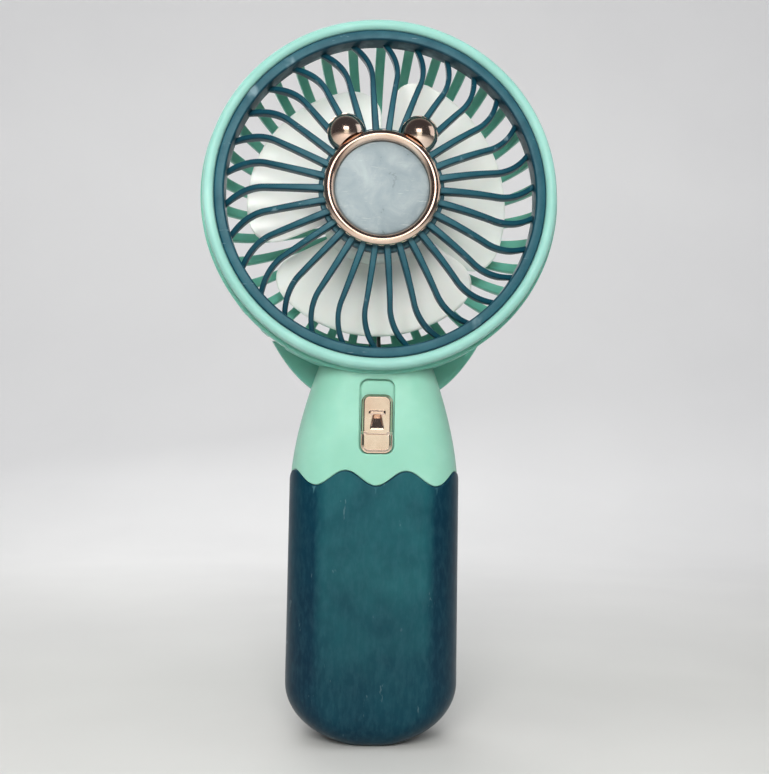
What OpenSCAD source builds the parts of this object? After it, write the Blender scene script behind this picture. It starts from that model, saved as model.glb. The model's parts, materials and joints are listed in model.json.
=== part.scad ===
// Handheld electric fan: a caged three-petal fan head on a neck, with a slide switch,
// and a handle that holds one rechargeable cell inside a scalloped sleeve.
// +Z is up along the handle, the air leaves towards -Y, the origin is the centre of the base.

/* [Handle] */
// Full width of the handle
handle_w = 48; // [46:0.5:50]
// Full thickness of the handle, front to back
handle_d = 30; // [29:0.5:32]
// Height of the sleeve's mean top line
sleeve_top = 72.8; // [72:0.1:74]
// Number of scallops around the sleeve
scallop_count = 8; // [6:2:10]
// Half the height of a scallop
scallop_amp = 2.05; // [1:0.05:2.2]
// Height of the rounded end at the base
base_round_h = 16; // [14:1:18]
// Wall of the sleeve and of the case shells
wall = 1.6; // [1.4:0.1:1.8]
// How far the sleeve stands proud of the neck
sleeve_proud = 0.35; // [0.2:0.05:0.5]

/* [Neck] */
// Height of the neck's top edge
neck_top = 104.2; // [103:0.1:105]
// Height at which the neck starts to narrow
neck_start = 72; // [70:1:74]

/* [Head] */
// Height of the fan's axis above the base
head_z = 151.5; // [151:0.1:152]
// Outer radius of the rear cage
cage_r = 50; // [50:0.2:51]
// Outer radius of the front bezel
bezel_r = 49; // [48.8:0.1:49.4]
// Front plane of the bezel, along Y
bezel_front = -19; // [-19.2:0.1:-18.8]
// Back plane of the bezel, along Y
bezel_back = -14.1; // [-14.3:0.1:-14.1]
// Number of ribs in the front grille
front_ribs = 30; // [24:1:32]
// Number of ribs in the rear cage
rear_ribs = 36; // [30:1:40]

/* [Impeller] */
// Number of petals
petal_count = 3; // [3:1:4]
// Tip radius of the petals
petal_r = 38; // [36:0.5:39]
// Angle that one petal covers
petal_span = 116; // [80:1:118]
// Axial depth of one petal from its front edge to its back edge
petal_depth = 14; // [10:0.5:14]

/* [Switch] */
// Width of the switch's recess
recess_w = 9.6; // [9.2:0.1:10]
// Lower end of the recess
recess_z0 = 79.5; // [79:0.1:80]
// Upper end of the recess
recess_z1 = 100.1; // [99.5:0.1:100.5]
// Travel of the button
button_travel = 4; // [3:0.1:4]

/* [Hidden] */

$fn = 64;
eps = 0.01;
gap = 0.1;              // clearance between parts that are assembled but don't press
big = 300;              // larger than the object, for cutting blocks

// colours
mint = [0.45, 0.80, 0.68];
deep_teal = [0.02, 0.22, 0.29];
slate = [0.47, 0.53, 0.57];
rose_gold = [0.80, 0.56, 0.47];
white_plastic = [0.90, 0.92, 0.89];
steel = [0.66, 0.67, 0.69];
copper = [0.78, 0.42, 0.22];
brass_yellow = [0.80, 0.66, 0.35];
black_plastic = [0.08, 0.08, 0.09];
magnet_grey = [0.22, 0.22, 0.24];
board_green = [0.05, 0.36, 0.20];
cell_blue = [0.12, 0.32, 0.62];
wire_red = [0.75, 0.08, 0.07];
wire_black = [0.05, 0.05, 0.06];
foam_grey = [0.25, 0.25, 0.27];
clear_plastic = [0.88, 0.93, 0.95];

// ---------------------------------------------------------------- handle and neck form
outline_steps = 96;                 // points around a section, a multiple of the scallops
half_w = handle_w / 2;
half_d = handle_d / 2;
base_trim = 1;                      // how much of the rounded end the flat base cuts off
base_half_d = 8.5;                  // half depth of the flat base
base_round_d = 9;                   // height over which the base rounds out in depth
corner_share = 0.78;                // corner radius of a section over its smaller half size
neck_rate_w = 0.0296;               // the neck narrows by rate * (z - start) ^ power
neck_power_w = 1.585;
neck_rate_d = 0.0015;               // the neck thins by rate * (z - start) ^ 2

function end_ellipse(t) = sqrt(max(0, 1 - (1 - t) * (1 - t)));
function form_w(z) =
    z < base_round_h ? half_w * end_ellipse((z + base_trim) / (base_round_h + base_trim)) :
    z < neck_start ? half_w :
    half_w - neck_rate_w * pow(z - neck_start, neck_power_w);
function form_d(z) =
    z < base_round_d ? base_half_d + (half_d - base_half_d) * end_ellipse(z / base_round_d) :
    z < neck_start ? half_d :
    half_d - neck_rate_d * pow(z - neck_start, 2);

// one quarter of a rounded rectangle, from the middle of its front to the middle of its side
function quarter_point(s, w, d, r) =
    let (flat = w - r, arc = PI / 2 * r)
    s <= flat ? [s, -d] :
    s <= flat + arc ? let (a = (s - flat) / r * 180 / PI) [flat + r * sin(a), r - d - r * cos(a)] :
    [w, r - d + (s - flat - arc)];
function outline_point(u, w, d, r) =
    let (q = w + d - 2 * r + PI / 2 * r, s = u * 4 * q)
    s <= q ? quarter_point(s, w, d, r) :
    s <= 2 * q ? let (p = quarter_point(2 * q - s, w, d, r)) [p[0], -p[1]] :
    s <= 3 * q ? let (p = quarter_point(s - 2 * q, w, d, r)) [-p[0], -p[1]] :
    let (p = quarter_point(4 * q - s, w, d, r)) [-p[0], p[1]];

function wave_z(u) = sleeve_top - scallop_amp * cos(360 * scallop_count * u);

// a ring of points on the handle's form at height z, set in by inset, shifted up by lift
function form_ring(z, inset, lift = 0) =
    let (w = form_w(z) - inset, d = form_d(z) - inset,
         r = max(1, corner_share * min(form_w(z), form_d(z)) - inset))
    [for (i = [0 : outline_steps - 1])
        let (p = outline_point(i / outline_steps, w, d, r)) [p[0], p[1], z + lift]];
// the same ring, but along the scalloped line, moved up by rise
function wave_ring(inset, rise = 0) =
    [for (i = [0 : outline_steps - 1])
        let (u = i / outline_steps, z = wave_z(u) + rise,
             w = form_w(z) - inset, d = form_d(z) - inset,
             r = corner_share * half_d - inset, p = outline_point(u, w, d, r))
        [p[0], p[1], z]];

function mean_point(ring) = [for (p = ring) 1] * ring / len(ring);
// a closed solid through a list of rings, capped at both ends by fans about their middles
module loft(rings) {
    n = len(rings[0]);
    last = len(rings) - 1;
    foot = n * (last + 1);
    sides = [for (k = [0 : last - 1], i = [0 : n - 1])
        let (j = (i + 1) % n, a = k * n + i, b = k * n + j, c = a + n, d = b + n)
        each [[a, c, b], [b, c, d]]];
    caps = [for (i = [0 : n - 1])
        let (j = (i + 1) % n)
        each [[foot, i, j], [foot + 1, last * n + j, last * n + i]]];
    polyhedron(points = concat([for (ring = rings) each ring],
        [mean_point(rings[0]), mean_point(rings[last])]), faces = concat(sides, caps),
        convexity = 6);
}

// heights of the rings over the rounded end, by equal angles of its ellipse
end_steps = 7;
end_angle = acos(base_round_h / (base_round_h + base_trim));
end_levels = [for (i = [0 : end_steps])
    let (a = end_angle + (90 - end_angle) * i / end_steps)
    (base_round_h + base_trim) * (1 - cos(a)) - base_trim];
sleeve_inset = wall;                        // inside face of the sleeve
case_inset = wall + 0.05;                   // case shells where the sleeve covers them
cavity_inset = case_inset + wall;           // inside face of the shells
case_floor = wall + 0.2;                    // height of the case's lower end
cavity_floor = case_floor + wall;           // height of the cavity's lower end
neck_levels = [78 : 4.35 : neck_top + 0.1];
lap_z = 68;                                 // last straight ring below the scallops

module case_form() {
    loft(concat(
        [for (z = end_levels) form_ring(z, case_inset, case_floor)],
        [form_ring(lap_z, case_inset)],
        [wave_ring(case_inset, gap), wave_ring(sleeve_proud, gap)],
        [for (z = neck_levels) form_ring(z, sleeve_proud)]));
}
module case_cavity() {
    loft(concat(
        [for (z = end_levels) form_ring(z, cavity_inset, cavity_floor)],
        [form_ring(lap_z, cavity_inset)],
        [for (z = neck_levels) form_ring(z, cavity_inset)],
        [form_ring(neck_top + 2, cavity_inset)]));
}

// ---------------------------------------------------------------- head frame
// local Z runs along +Y; an angle runs clockwise from 3 o'clock as seen from the front
module on_axis() { translate([0, 0, head_z]) rotate([-90, 0, 0]) children(); }
module tube_h(r_out, r_in, h0, h1) {
    translate([0, 0, h0]) difference() {
        cylinder(r = r_out, h = h1 - h0);
        translate([0, 0, -eps]) cylinder(r = r_in, h = h1 - h0 + 2 * eps);
    }
}
module disc_h(r, h0, h1) { translate([0, 0, h0]) cylinder(r = r, h = h1 - h0); }
// a straight screw along +Z: a flat head at the bottom, the shank above it
module screw(head_r, head_h, shank_r, length) {
    cylinder(r = head_r, h = head_h);
    translate([0, 0, head_h]) cylinder(r = shank_r, h = length);
}
// a bent wire in a plane of constant x, through points [y, z]
wire_sides = 10;
function unit2(v) = v / norm(v);
function wire_ring_at(x, path, k, r) =
    let (a = k == 0 ? unit2(path[1] - path[0]) : unit2(path[k] - path[k - 1]),
         b = k == len(path) - 1 ? a : unit2(path[k + 1] - path[k]),
         t = unit2(a + b), m = [-t[1], t[0]], stretch = 1 / max(0.5, t * a))
    [for (i = [0 : wire_sides - 1]) let (c = 360 * i / wire_sides,
        p = path[k] + m * r * stretch * sin(c)) [x + r * cos(c), p[0], p[1]]];
module wire(x, path, r) {
    loft([for (k = [0 : len(path) - 1]) wire_ring_at(x, path, k, r)]);
}

neck_notch_w = 17.4;        // half width of the notch in the cage for the neck's front wall
neck_notch_y = -11.2;       // the cage starts behind this plane there
lip_w = 3.1;                // width of the bezel's rounded lip
lip_r = lip_w / 2;
spigot_r0 = 47.75;          // the bezel's glued tongue
spigot_r1 = 48.65;
spigot_h = 1.7;
module neck_notch() {
    translate([-neck_notch_w, bezel_back - 1, neck_top - 10])
        cube([2 * neck_notch_w, neck_notch_y - bezel_back + 1, 10 + 0.3]);
}

module front_bezel() color(mint) difference() {
    on_axis() {
        rotate_extrude($fn = 128) {
            translate([bezel_r - lip_r, bezel_front + lip_r]) circle(r = lip_r, $fn = 32);
            translate([bezel_r - lip_w, bezel_front + lip_r])
                square([lip_w, bezel_back - bezel_front - lip_r]);
        }
        tube_h(spigot_r1, spigot_r0, bezel_back - eps, bezel_back + spigot_h);
    }
    translate([0, spigot_h + eps, 0]) intersection() {
        neck_notch();
        translate([-big, bezel_back - spigot_h, 0]) cube([2 * big, spigot_h + 5, big]);
    }
}

// ---------------------------------------------------------------- front grille
ring_out = 45.9;            // outer radius of the grille's ring
ring_in = 43;
ring_front = -18.5;
ring_back = -13.9;
ring_bevel = 0.4;
flange_r = 46.9;            // thin flange behind the bezel that holds the grille
flange_h = 1;
hub_r = 16;
hub_front = -21.4;
hub_back = -18;
web_r = 17.3;
web_front = -19.8;
rib_root_w = 1.9;           // width of a rib at the hub
rib_tip_w = 1.45;           // width from rib_narrow of its length outwards
rib_narrow = 0.6;
rib_d = 2.9;
rib_r0 = 15.5;
rib_r1 = 43.6;
rib_hub_h = -21.2;          // front edge of a rib at the hub
rib_drop = 6.5;             // how far a rib falls back between the hub and the ring
rib_drop_power = 2;
rib_lean = 2;               // degrees that the rib leans clockwise over its whole length
rib_hook = 7.2;             // degrees that the rib's outer end turns counter-clockwise
rib_bend = 0.6;             // share of the rib's length where the hook starts
rib_bend_power = 1.8;
rib_start = -0.4;           // angle of the first rib at the hub
rib_steps = 9;
rib_step_power = 0.6;       // packs the steps towards the hook
rib_back_limit = -13.2;     // no rib reaches further back than this
ear_angle = 32.8;           // each side of 12 o'clock
ear_dist = 18.45;
ear_base_r = 5.2;
ear_h = 3.6;
ear_base_h = -21.3;         // plane of the half-balls' backs
ear_pad_h = 2.2;            // thickness of the pads behind them
ear_ball_r = (ear_base_r * ear_base_r + ear_h * ear_h) / (2 * ear_h);

function rib_t(r) = max(0, (r - rib_r0) / (rib_r1 - rib_r0));
function rib_angle(r) = rib_lean * rib_t(r)
    - rib_hook * pow(max(0, rib_t(r) - rib_bend) / (1 - rib_bend), rib_bend_power);
function rib_width(r) =
    rib_root_w + (rib_tip_w - rib_root_w) * min(1, rib_t(r) / rib_narrow);
function rib_edge(r, side) =
    let (a = rib_angle(r) + side * rib_width(r) / 2 / r * 180 / PI) [r * cos(a), r * sin(a)];
function rib_front(r) = rib_hub_h + rib_drop * pow(rib_t(r), rib_drop_power);
rib_radii = [for (i = [0 : rib_steps])
    rib_r0 + (rib_r1 - rib_r0) * pow(i / rib_steps, rib_step_power)];
dome_steps = 8;
dome_over = 0.3;            // the dome's profile runs past both ends of a rib by this much
dome_radii = [for (i = [0 : dome_steps])
    rib_r0 - dome_over + (rib_r1 - rib_r0 + 2 * dome_over) * i / dome_steps];

module rib_band() {
    polygon(concat([for (r = rib_radii) rib_edge(r, -1)],
        [for (i = [rib_steps : -1 : 0]) rib_edge(rib_radii[i], 1)]));
}
module rib_dome() {
    rotate_extrude($fn = 128) polygon(concat(
        [for (r = dome_radii) [r, rib_front(r)]],
        [for (i = [dome_steps : -1 : 0])
            [dome_radii[i], min(rib_front(dome_radii[i]) + rib_d, rib_back_limit)]]));
}
module at_ear(side) {
    on_axis() rotate([0, 0, side * ear_angle - 90]) translate([ear_dist, 0, 0]) children();
}
module front_grille() color(deep_teal) {
    on_axis() {
        rotate_extrude($fn = 128) {
            polygon([[ring_in, ring_front + ring_bevel], [ring_in + ring_bevel, ring_front],
                [ring_out - ring_bevel, ring_front], [ring_out, ring_front + ring_bevel],
                [ring_out, ring_back], [flange_r, ring_back],
                [flange_r, ring_back + flange_h], [ring_in, ring_back + flange_h]]);
        }
        rotate_extrude($fn = 96) polygon([[0, hub_front], [hub_r, hub_front],
            [hub_r, web_front], [web_r, web_front], [web_r, hub_back], [0, hub_back]]);
        intersection() {
            rib_dome();
            for (k = [0 : front_ribs - 1]) rotate([0, 0, rib_start + 360 / front_ribs * k])
                translate([0, 0, -30]) linear_extrude(height = 30) rib_band();
        }
    }
    for (side = [-1, 1]) at_ear(side)
        translate([0, 0, ear_base_h]) cylinder(r = ear_base_r - 0.1, h = ear_pad_h);
}

// ---------------------------------------------------------------- hub trim
trim_crest_r = 1.5;
trim_r = 14.5;
trim_front = -23.8;
disc_r = 12.9;
disc_front = -22.4;
module hub_ring() color(rose_gold) on_axis() rotate_extrude($fn = 96) difference() {
    union() {
        translate([trim_r, trim_front + trim_crest_r]) circle(r = trim_crest_r, $fn = 32);
        translate([trim_r - trim_crest_r, trim_front + trim_crest_r])
            square([2 * trim_crest_r, 2 * trim_crest_r]);
    }
    // the flat back that sits on the hub
    translate([trim_r - 2 * trim_crest_r, hub_front]) square([4 * trim_crest_r, 10]);
}
module hub_disc() color(slate) on_axis() disc_h(disc_r, disc_front, hub_front);
module ear(side) {
    difference() {
        at_ear(side) intersection() {
            translate([0, 0, ear_base_h + ear_ball_r - ear_h]) sphere(r = ear_ball_r);
            translate([0, 0, ear_base_h - 10]) cylinder(r = 10, h = 10);
        }
        on_axis() disc_h(hub_r + 0.05, -30, -10);
    }
}
module left_ear() color(rose_gold) ear(-1);
module right_ear() color(rose_gold) ear(1);

// ---------------------------------------------------------------- rear cage
cage_flat_r = 26;           // the back is flat inside this radius
cage_mid_h = -5;            // plane where the cage is widest
cage_back = 19;             // back plane of the cage
cage_wall = 2.2;
cage_steps = 12;
rear_rib_tip_w = 3.0;
rear_rib_root_w = 1.9;
rear_hub_r = 15.5;
rear_hub_wall = 1.6;
cup_r0 = 12.15;             // motor cup, inside
cup_r1 = 13.3;
cup_front = 1.2;
skirt_half_angle = 29;
skirt_r = 40;               // the solid wall lies outside this radius
tongue_w = 11.5;            // half width of the tongue in the neck
tongue_y0 = -8;
tongue_y1 = 8.2;
tongue_z0 = 96.2;
neck_screw_x = 8.8;
neck_screw_z = 99.6;
wire_slot_w = 2.6;          // half width of the wires' passage in the tongue
wire_slot_y0 = 0.5;
wire_slot_y1 = 5.5;
boss_dist = 13.5;           // motor clamp screws, from the axis
boss_r = 1.6;
boss_angles = [30, 150, 270];

// ring of points from the widest plane to the flat back, set in by inset
function cage_arc(inset) = [for (i = [0 : cage_steps])
    let (a = 90 * i / cage_steps)
    [cage_flat_r + (cage_r - inset - cage_flat_r) * cos(a),
     cage_mid_h + (cage_back - inset - cage_mid_h) * sin(a)]];
module cage_band(h_front, r_inner) {
    rotate_extrude($fn = 128) polygon(concat(
        [[cage_r - cage_wall, h_front], [cage_r, h_front]],
        cage_arc(0),
        [[r_inner, cage_back], [r_inner, cage_back - cage_wall]],
        [for (i = [cage_steps : -1 : 0]) cage_arc(cage_wall)[i]]));
}
module rear_rib() {
    polygon([[rear_hub_r - 1, -rear_rib_root_w / 2], [cage_r + 1, -rear_rib_tip_w / 2],
        [cage_r + 1, rear_rib_tip_w / 2], [rear_hub_r - 1, rear_rib_root_w / 2]]);
}
module sector(half_angle, r) {
    polygon([[0, 0], [r * cos(half_angle), -r * sin(half_angle)],
        [r, 0], [r * cos(half_angle), r * sin(half_angle)]]);
}
module tongue_box() {
    translate([-tongue_w, tongue_y0, tongue_z0])
        cube([2 * tongue_w, tongue_y1 - tongue_y0, 104.5 - tongue_z0]);
}
module rear_grille() color(mint) difference() {
    union() {
        on_axis() {
            // flange that meets the bezel
            tube_h(cage_r, 47.1, bezel_back + gap, -9);
            // ledge behind the front grille's flange
            tube_h(cage_r - 1, 45.4, ring_back + flange_h + gap, -10.8);
            intersection() {
                cage_band(-9.5, rear_hub_r - 1);
                translate([0, 0, -20]) linear_extrude(height = 50) union() {
                    for (k = [0 : rear_ribs - 1]) rotate([0, 0, 360 / rear_ribs * k]) rear_rib();
                }
            }
            // solid side wall where the neck joins
            difference() {
                intersection() {
                    cage_band(-9.5, rear_hub_r - 1);
                    rotate([0, 0, 90]) translate([0, 0, -20]) linear_extrude(height = 50)
                        sector(skirt_half_angle, 80);
                }
                disc_h(skirt_r, -20, 40);
            }
            disc_h(rear_hub_r, cage_back - rear_hub_wall, cage_back);
            tube_h(cup_r1, cup_r0, cup_front, cage_back - rear_hub_wall + eps);
            for (a = boss_angles) rotate([0, 0, a]) translate([boss_dist, 0, cup_front])
                cylinder(r = boss_r, h = cage_back - rear_hub_wall - cup_front + eps, $fn = 32);
        }
        // wire channel down the back, from the motor to the neck
        intersection() {
            on_axis() cage_band(-9.5, rear_hub_r - 1);
            translate([-3.4, 0, 100]) cube([6.8, 30, head_z - 100]);
        }
        // tongue that the neck's shells clamp
        difference() {
            tongue_box();
            on_axis() disc_h(cage_r - 1, -20, 20);
        }
    }
    // clear the motor's seat, the boss holes, the wires and the neck's front wall
    on_axis() disc_h(cup_r0, cup_front - 1, cage_back - rear_hub_wall);
    on_axis() for (a = boss_angles) rotate([0, 0, a]) translate([boss_dist, 0, cup_front - 1])
        cylinder(r = 0.6, h = 8, $fn = 24);
    translate([-wire_slot_w, wire_slot_y0, 90])
        cube([2 * wire_slot_w, wire_slot_y1 - wire_slot_y0, 16.5]);
    for (x = [-neck_screw_x, neck_screw_x]) translate([x, -20, neck_screw_z])
        rotate([-90, 0, 0]) cylinder(r = 1.15, h = 40, $fn = 32);
    translate([-2.2, 8, head_z - cup_r1 - 1.5]) cube([4.4, 9.4, 3.5]);
    neck_notch();
    // groove for the bezel's tongue
    on_axis() tube_h(spigot_r1 + gap / 2, spigot_r0 - gap / 2, -20, bezel_back + spigot_h + gap);
}

// ---------------------------------------------------------------- impeller
petal_front = -8;           // front edge, along the axis
petal_t = 1.3;
petal_r0 = 15.6;            // root, inside the hub's wall
petal_corner_r = 27;        // the corners round off from here outwards
petal_corner_power = 2.6;
petal_rows = 7;
petal_cols = 12;
petal_first = 84;           // front edge of the first petal, counter-clockwise from 3 o'clock
impeller_hub_r = 16.8;
impeller_hub_wall = 1.4;
impeller_back = petal_front + petal_depth + petal_t + 0.4;
shaft_r = 1.0;

function petal_row_r(j) = petal_r0 + (petal_r - petal_r0) * sin(90 * j / petal_rows);
function petal_half_span(r) = r <= petal_corner_r ? petal_span / 2 :
    petal_span / 2 * pow(max(0, 1 - pow((r - petal_corner_r) / (petal_r - petal_corner_r),
        petal_corner_power)) , 1 / petal_corner_power) * 0.35 + petal_span / 2 * 0.65;
function petal_h(a) = petal_front + petal_depth * (a / petal_span + 0.5);
// a grid point: row j outwards, column i clockwise from the front edge, on face h_off
function petal_point(i, j, h_off) =
    let (r = petal_row_r(j), half = petal_half_span(r), a = -half + 2 * half * i / petal_cols)
    [r * cos(a), r * sin(a), petal_h(a) + h_off];
module petal() {
    n = petal_cols + 1;
    m = petal_rows + 1;
    front = [for (j = [0 : petal_rows], i = [0 : petal_cols]) petal_point(i, j, 0)];
    back = [for (j = [0 : petal_rows], i = [0 : petal_cols]) petal_point(i, j, petal_t)];
    s = n * m;
    faces = concat(
        [for (j = [0 : petal_rows - 1], i = [0 : petal_cols - 1])
            let (a = j * n + i) each [[a, a + n, a + 1], [a + 1, a + n, a + n + 1]]],
        [for (j = [0 : petal_rows - 1], i = [0 : petal_cols - 1])
            let (a = s + j * n + i) each [[a, a + 1, a + n], [a + 1, a + n + 1, a + n]]],
        [for (i = [0 : petal_cols - 1]) each
            [[i, i + 1, s + i], [i + 1, s + i + 1, s + i]]],
        [for (i = [0 : petal_cols - 1]) let (a = petal_rows * n + i) each
            [[a, s + a, a + 1], [a + 1, s + a, s + a + 1]]],
        [for (j = [0 : petal_rows - 1]) let (a = j * n) each
            [[a, s + a, a + n], [a + n, s + a, s + a + n]]],
        [for (j = [0 : petal_rows - 1]) let (a = j * n + petal_cols) each
            [[a, a + n, s + a], [a + n, s + a + n, s + a]]]);
    polyhedron(points = concat(front, back), faces = faces, convexity = 4);
}
module impeller() color(white_plastic) on_axis() {
    for (k = [0 : petal_count - 1])
        rotate([0, 0, -petal_first + petal_span / 2 + 360 / petal_count * k]) petal();
    difference() {
        union() {
            rotate_extrude($fn = 96) polygon([[0, petal_front - 1.6], [11, petal_front - 1.6],
                [14.6, petal_front - 0.9], [impeller_hub_r, petal_front + 1.2],
                [impeller_hub_r, impeller_back], [0, impeller_back]]);
        }
        disc_h(impeller_hub_r - impeller_hub_wall, petal_front + 0.6, 20);
    }
    tube_h(3.2, shaft_r, petal_front, -0.6);
}

// ---------------------------------------------------------------- motor
can_r = 12;
can_front = 1.4;
can_back = 14.2;
can_wall = 0.7;
bush_clearance = 0.03;
module motor_shaft() color(steel) on_axis() disc_h(shaft_r, petal_front + 1, 15.6);
module front_bush() color(brass_yellow) on_axis()
    tube_h(3, shaft_r + bush_clearance, 0.3, 4.2);
module rear_bush() color(brass_yellow) on_axis()
    tube_h(2.4, shaft_r + bush_clearance, 12.7, 15.4);
module motor_can() color(steel) on_axis() {
    tube_h(can_r, can_r - can_wall, can_front, can_back);
    tube_h(can_r - can_wall + eps, 3, can_front, can_front + 0.9);
}
magnet_r1 = can_r - can_wall - 0.02;
magnet_r0 = 9.2;
module motor_magnets() color(magnet_grey) on_axis() for (a = [0, 180]) rotate([0, 0, a - 65])
    translate([0, 0, 3]) rotate_extrude(angle = 130)
        translate([magnet_r0, 0]) square([magnet_r1 - magnet_r0, 8.6]);
core_h0 = 5;
core_h1 = 9.4;
core_r = 8.8;
core_shoe_r = 7.4;
core_shoe_gap = 16;         // half angle between two of the core's shoes
module core_outline() {
    difference() {
        union() {
            circle(r = 3.4);
            for (k = [0 : 2]) rotate(120 * k) translate([2, -1.1]) square([6, 2.2]);
            difference() {
                circle(r = core_r);
                circle(r = core_shoe_r);
                for (k = [0 : 2]) rotate(120 * k + 60) sector(core_shoe_gap, 20);
            }
        }
        circle(r = shaft_r);
    }
}
module armature_core() color(magnet_grey) on_axis() translate([0, 0, core_h0])
    linear_extrude(height = core_h1 - core_h0) core_outline();
module armature_windings() color(copper) on_axis() for (k = [0 : 2]) rotate([0, 0, 120 * k])
    difference() {
        translate([3.9, -2.3, core_h0 - 0.7]) cube([3.0, 4.6, core_h1 - core_h0 + 1.4]);
        translate([3, -1.12, core_h0 - 0.02]) cube([6, 2.24, core_h1 - core_h0 + 0.04]);
    }
commutator_r = 2.2;
module commutator() color(copper) on_axis() tube_h(commutator_r, shaft_r, 10.3, 12.3);
module motor_brushes() color(brass_yellow) on_axis() for (side = [-1, 1])
    translate([side * (commutator_r + 0.95) - 0.9, -1, 10.5]) cube([1.8, 2, 1.6]);
module motor_end_cap() color(black_plastic) on_axis() difference() {
    union() {
        disc_h(can_r - can_wall - 0.03, 12.7, can_back);
        disc_h(4, 12.7, 15.4);
        for (side = [-1, 1]) translate([side * 5.2 - 1.15, -1.6, 10.4]) cube([2.3, 3.2, 2.4]);
    }
    disc_h(2.4, 12, 16);
}
module motor_clamp_ring() color(black_plastic) on_axis() difference() {
    union() {
        tube_h(cup_r1, 4.2, cup_front - 1.2, cup_front - 0.05);
        for (a = boss_angles) rotate([0, 0, a]) translate([boss_dist, 0, cup_front - 1.2])
            cylinder(r = boss_r, h = 1.15, $fn = 32);
    }
    for (a = boss_angles) rotate([0, 0, a]) translate([boss_dist, 0, cup_front - 2])
        cylinder(r = 0.75, h = 3, $fn = 24);
}
module motor_screws() color(steel) on_axis() for (a = boss_angles) rotate([0, 0, a])
    translate([boss_dist, 0, cup_front - 2]) screw(1.3, 0.78, 0.58, 6);
motor_wire_r = 0.6;
motor_wire_path = [[16.2, head_z - 5], [15.9, head_z - 8], [15.9, head_z - 24],
    [14.4, head_z - 32], [10.5, head_z - 38], [5, head_z - 42.5], [3, head_z - 46], [3, 96],
    [1.6, 93.6], [-1, 92.6], [-3.65, 92.6]];
module motor_wires() for (side = [-1, 1]) color(side < 0 ? wire_red : wire_black)
    wire(side * 1.2, motor_wire_path, motor_wire_r);

// ---------------------------------------------------------------- case shells
shell_screw_x = 15.7;
shell_screw_z = [22, 58];
boss_wall_r = 2.5;
pilot_r = 0.8;
shank_r = 0.78;
clear_r = 1.1;
head_r = 1.9;
head_h = 1.2;
shell_screw_y = 11.5;       // outer face of the heads under the sleeve
neck_screw_y = 12.85;       // outer face of the heads in the neck
board_y = -4.9;             // front face of the circuit board
board_t = 1.2;
board_half_w = 14;
board_z0 = 74.5;
board_z1 = 95.2;
board_screw_x = 10.8;
board_screw_z = 77.5;
floor_y = -13.1;            // front face of the recess's floor
floor_t = 1.1;
recess_r = 2.3;
slot_w = 3.6;
slot_z0 = 84.6;
slot_z1 = 93.4;
socket_y = -2.1;            // centre of the charging socket
socket_z = 85.5;
socket_w = 8.94;            // along Z
socket_t = 3.2;             // along Y
led_z = 93.2;

module rounded_block(w, z0, z1, r, y0, y1) {
    translate([0, y1, 0]) rotate([90, 0, 0]) linear_extrude(height = y1 - y0) union() {
        translate([-w / 2 + r, z0]) square([w - 2 * r, z1 - z0]);
        translate([-w / 2, z0 + r]) square([w, z1 - z0 - 2 * r]);
        for (x = [-w / 2 + r, w / 2 - r], z = [z0 + r, z1 - r]) translate([x, z])
            circle(r = r, $fn = 32);
    }
}
module y_cylinder(x, z, r, y0, y1) {
    translate([x, y0, z]) rotate([-90, 0, 0]) cylinder(r = r, h = y1 - y0, $fn = 32);
}
// pill-shaped opening along X for the charging socket
module socket_hole(margin, x0, x1) {
    r = socket_t / 2 + margin;
    for (s = [-1, 1]) translate([x0, socket_y, socket_z + s * (socket_w - socket_t) / 2])
        rotate([0, 90, 0]) cylinder(r = r, h = x1 - x0, $fn = 32);
    translate([x0, socket_y - r, socket_z - (socket_w - socket_t) / 2])
        cube([x1 - x0, 2 * r, socket_w - socket_t]);
}
module shell_bosses(y0, y1) {
    for (x = [-shell_screw_x, shell_screw_x], z = shell_screw_z)
        y_cylinder(x, z, boss_wall_r, y0, y1);
}
module front_shell() color(mint) difference() {
    difference() {
        case_form();
        difference() {
            case_cavity();
            shell_bosses(-half_d, -0.05);
            for (x = [-neck_screw_x, neck_screw_x])
                y_cylinder(x, neck_screw_z, 2.2, -half_d, tongue_y0 - gap);
            for (x = [-board_screw_x, board_screw_x])
                y_cylinder(x, board_screw_z, 2, -half_d, board_y - 0.05);
            rounded_block(recess_w + 3, recess_z0 - 1.5, recess_z1 + 1.5, 3,
                -half_d, floor_y + floor_t);
        }
    }
    translate([-big / 2, -0.02, -big / 2]) cube([big, big, 2 * big]);
    // the cage stands behind the front wall's top edge
    on_axis() disc_h(cage_r + gap, neck_notch_y - gap, 40);
    rounded_block(recess_w, recess_z0, recess_z1, recess_r, -half_d - 5, floor_y);
    rounded_block(slot_w, slot_z0, slot_z1, 0.5, -half_d, 0);
    for (x = [-shell_screw_x, shell_screw_x], z = shell_screw_z)
        y_cylinder(x, z, pilot_r, -10, 1);
    for (x = [-neck_screw_x, neck_screw_x]) y_cylinder(x, neck_screw_z, pilot_r, -12, 0);
    for (x = [-board_screw_x, board_screw_x]) y_cylinder(x, board_screw_z, pilot_r, -10, 0);
    socket_hole(0.35, 15, 30);
    translate([15, socket_y, led_z]) rotate([0, 90, 0]) cylinder(r = 0.85, h = 15, $fn = 32);
}
flare_y0 = 2;
flare_y1 = 12.5;
flare_steps = 8;
flare_start = [18, 97.8];   // where the flare leaves the neck's side
flare_pull = [24.8, 102.2];
flare_end = [30.4, 112];    // where it meets the cage's solid wall
function flare_point(t) =
    (1 - t) * (1 - t) * flare_start + 2 * t * (1 - t) * flare_pull + t * t * flare_end;
// the flare behind the neck: out from the neck's sides to the cage's solid wall
module flare_outline() {
    for (side = [-1, 1]) polygon(concat([[side * 15, flare_start[1]]],
        [for (i = [0 : flare_steps]) let (p = flare_point(i / flare_steps)) [side * p[0], p[1]]],
        [[side * 15, flare_end[1]]]));
}
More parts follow.
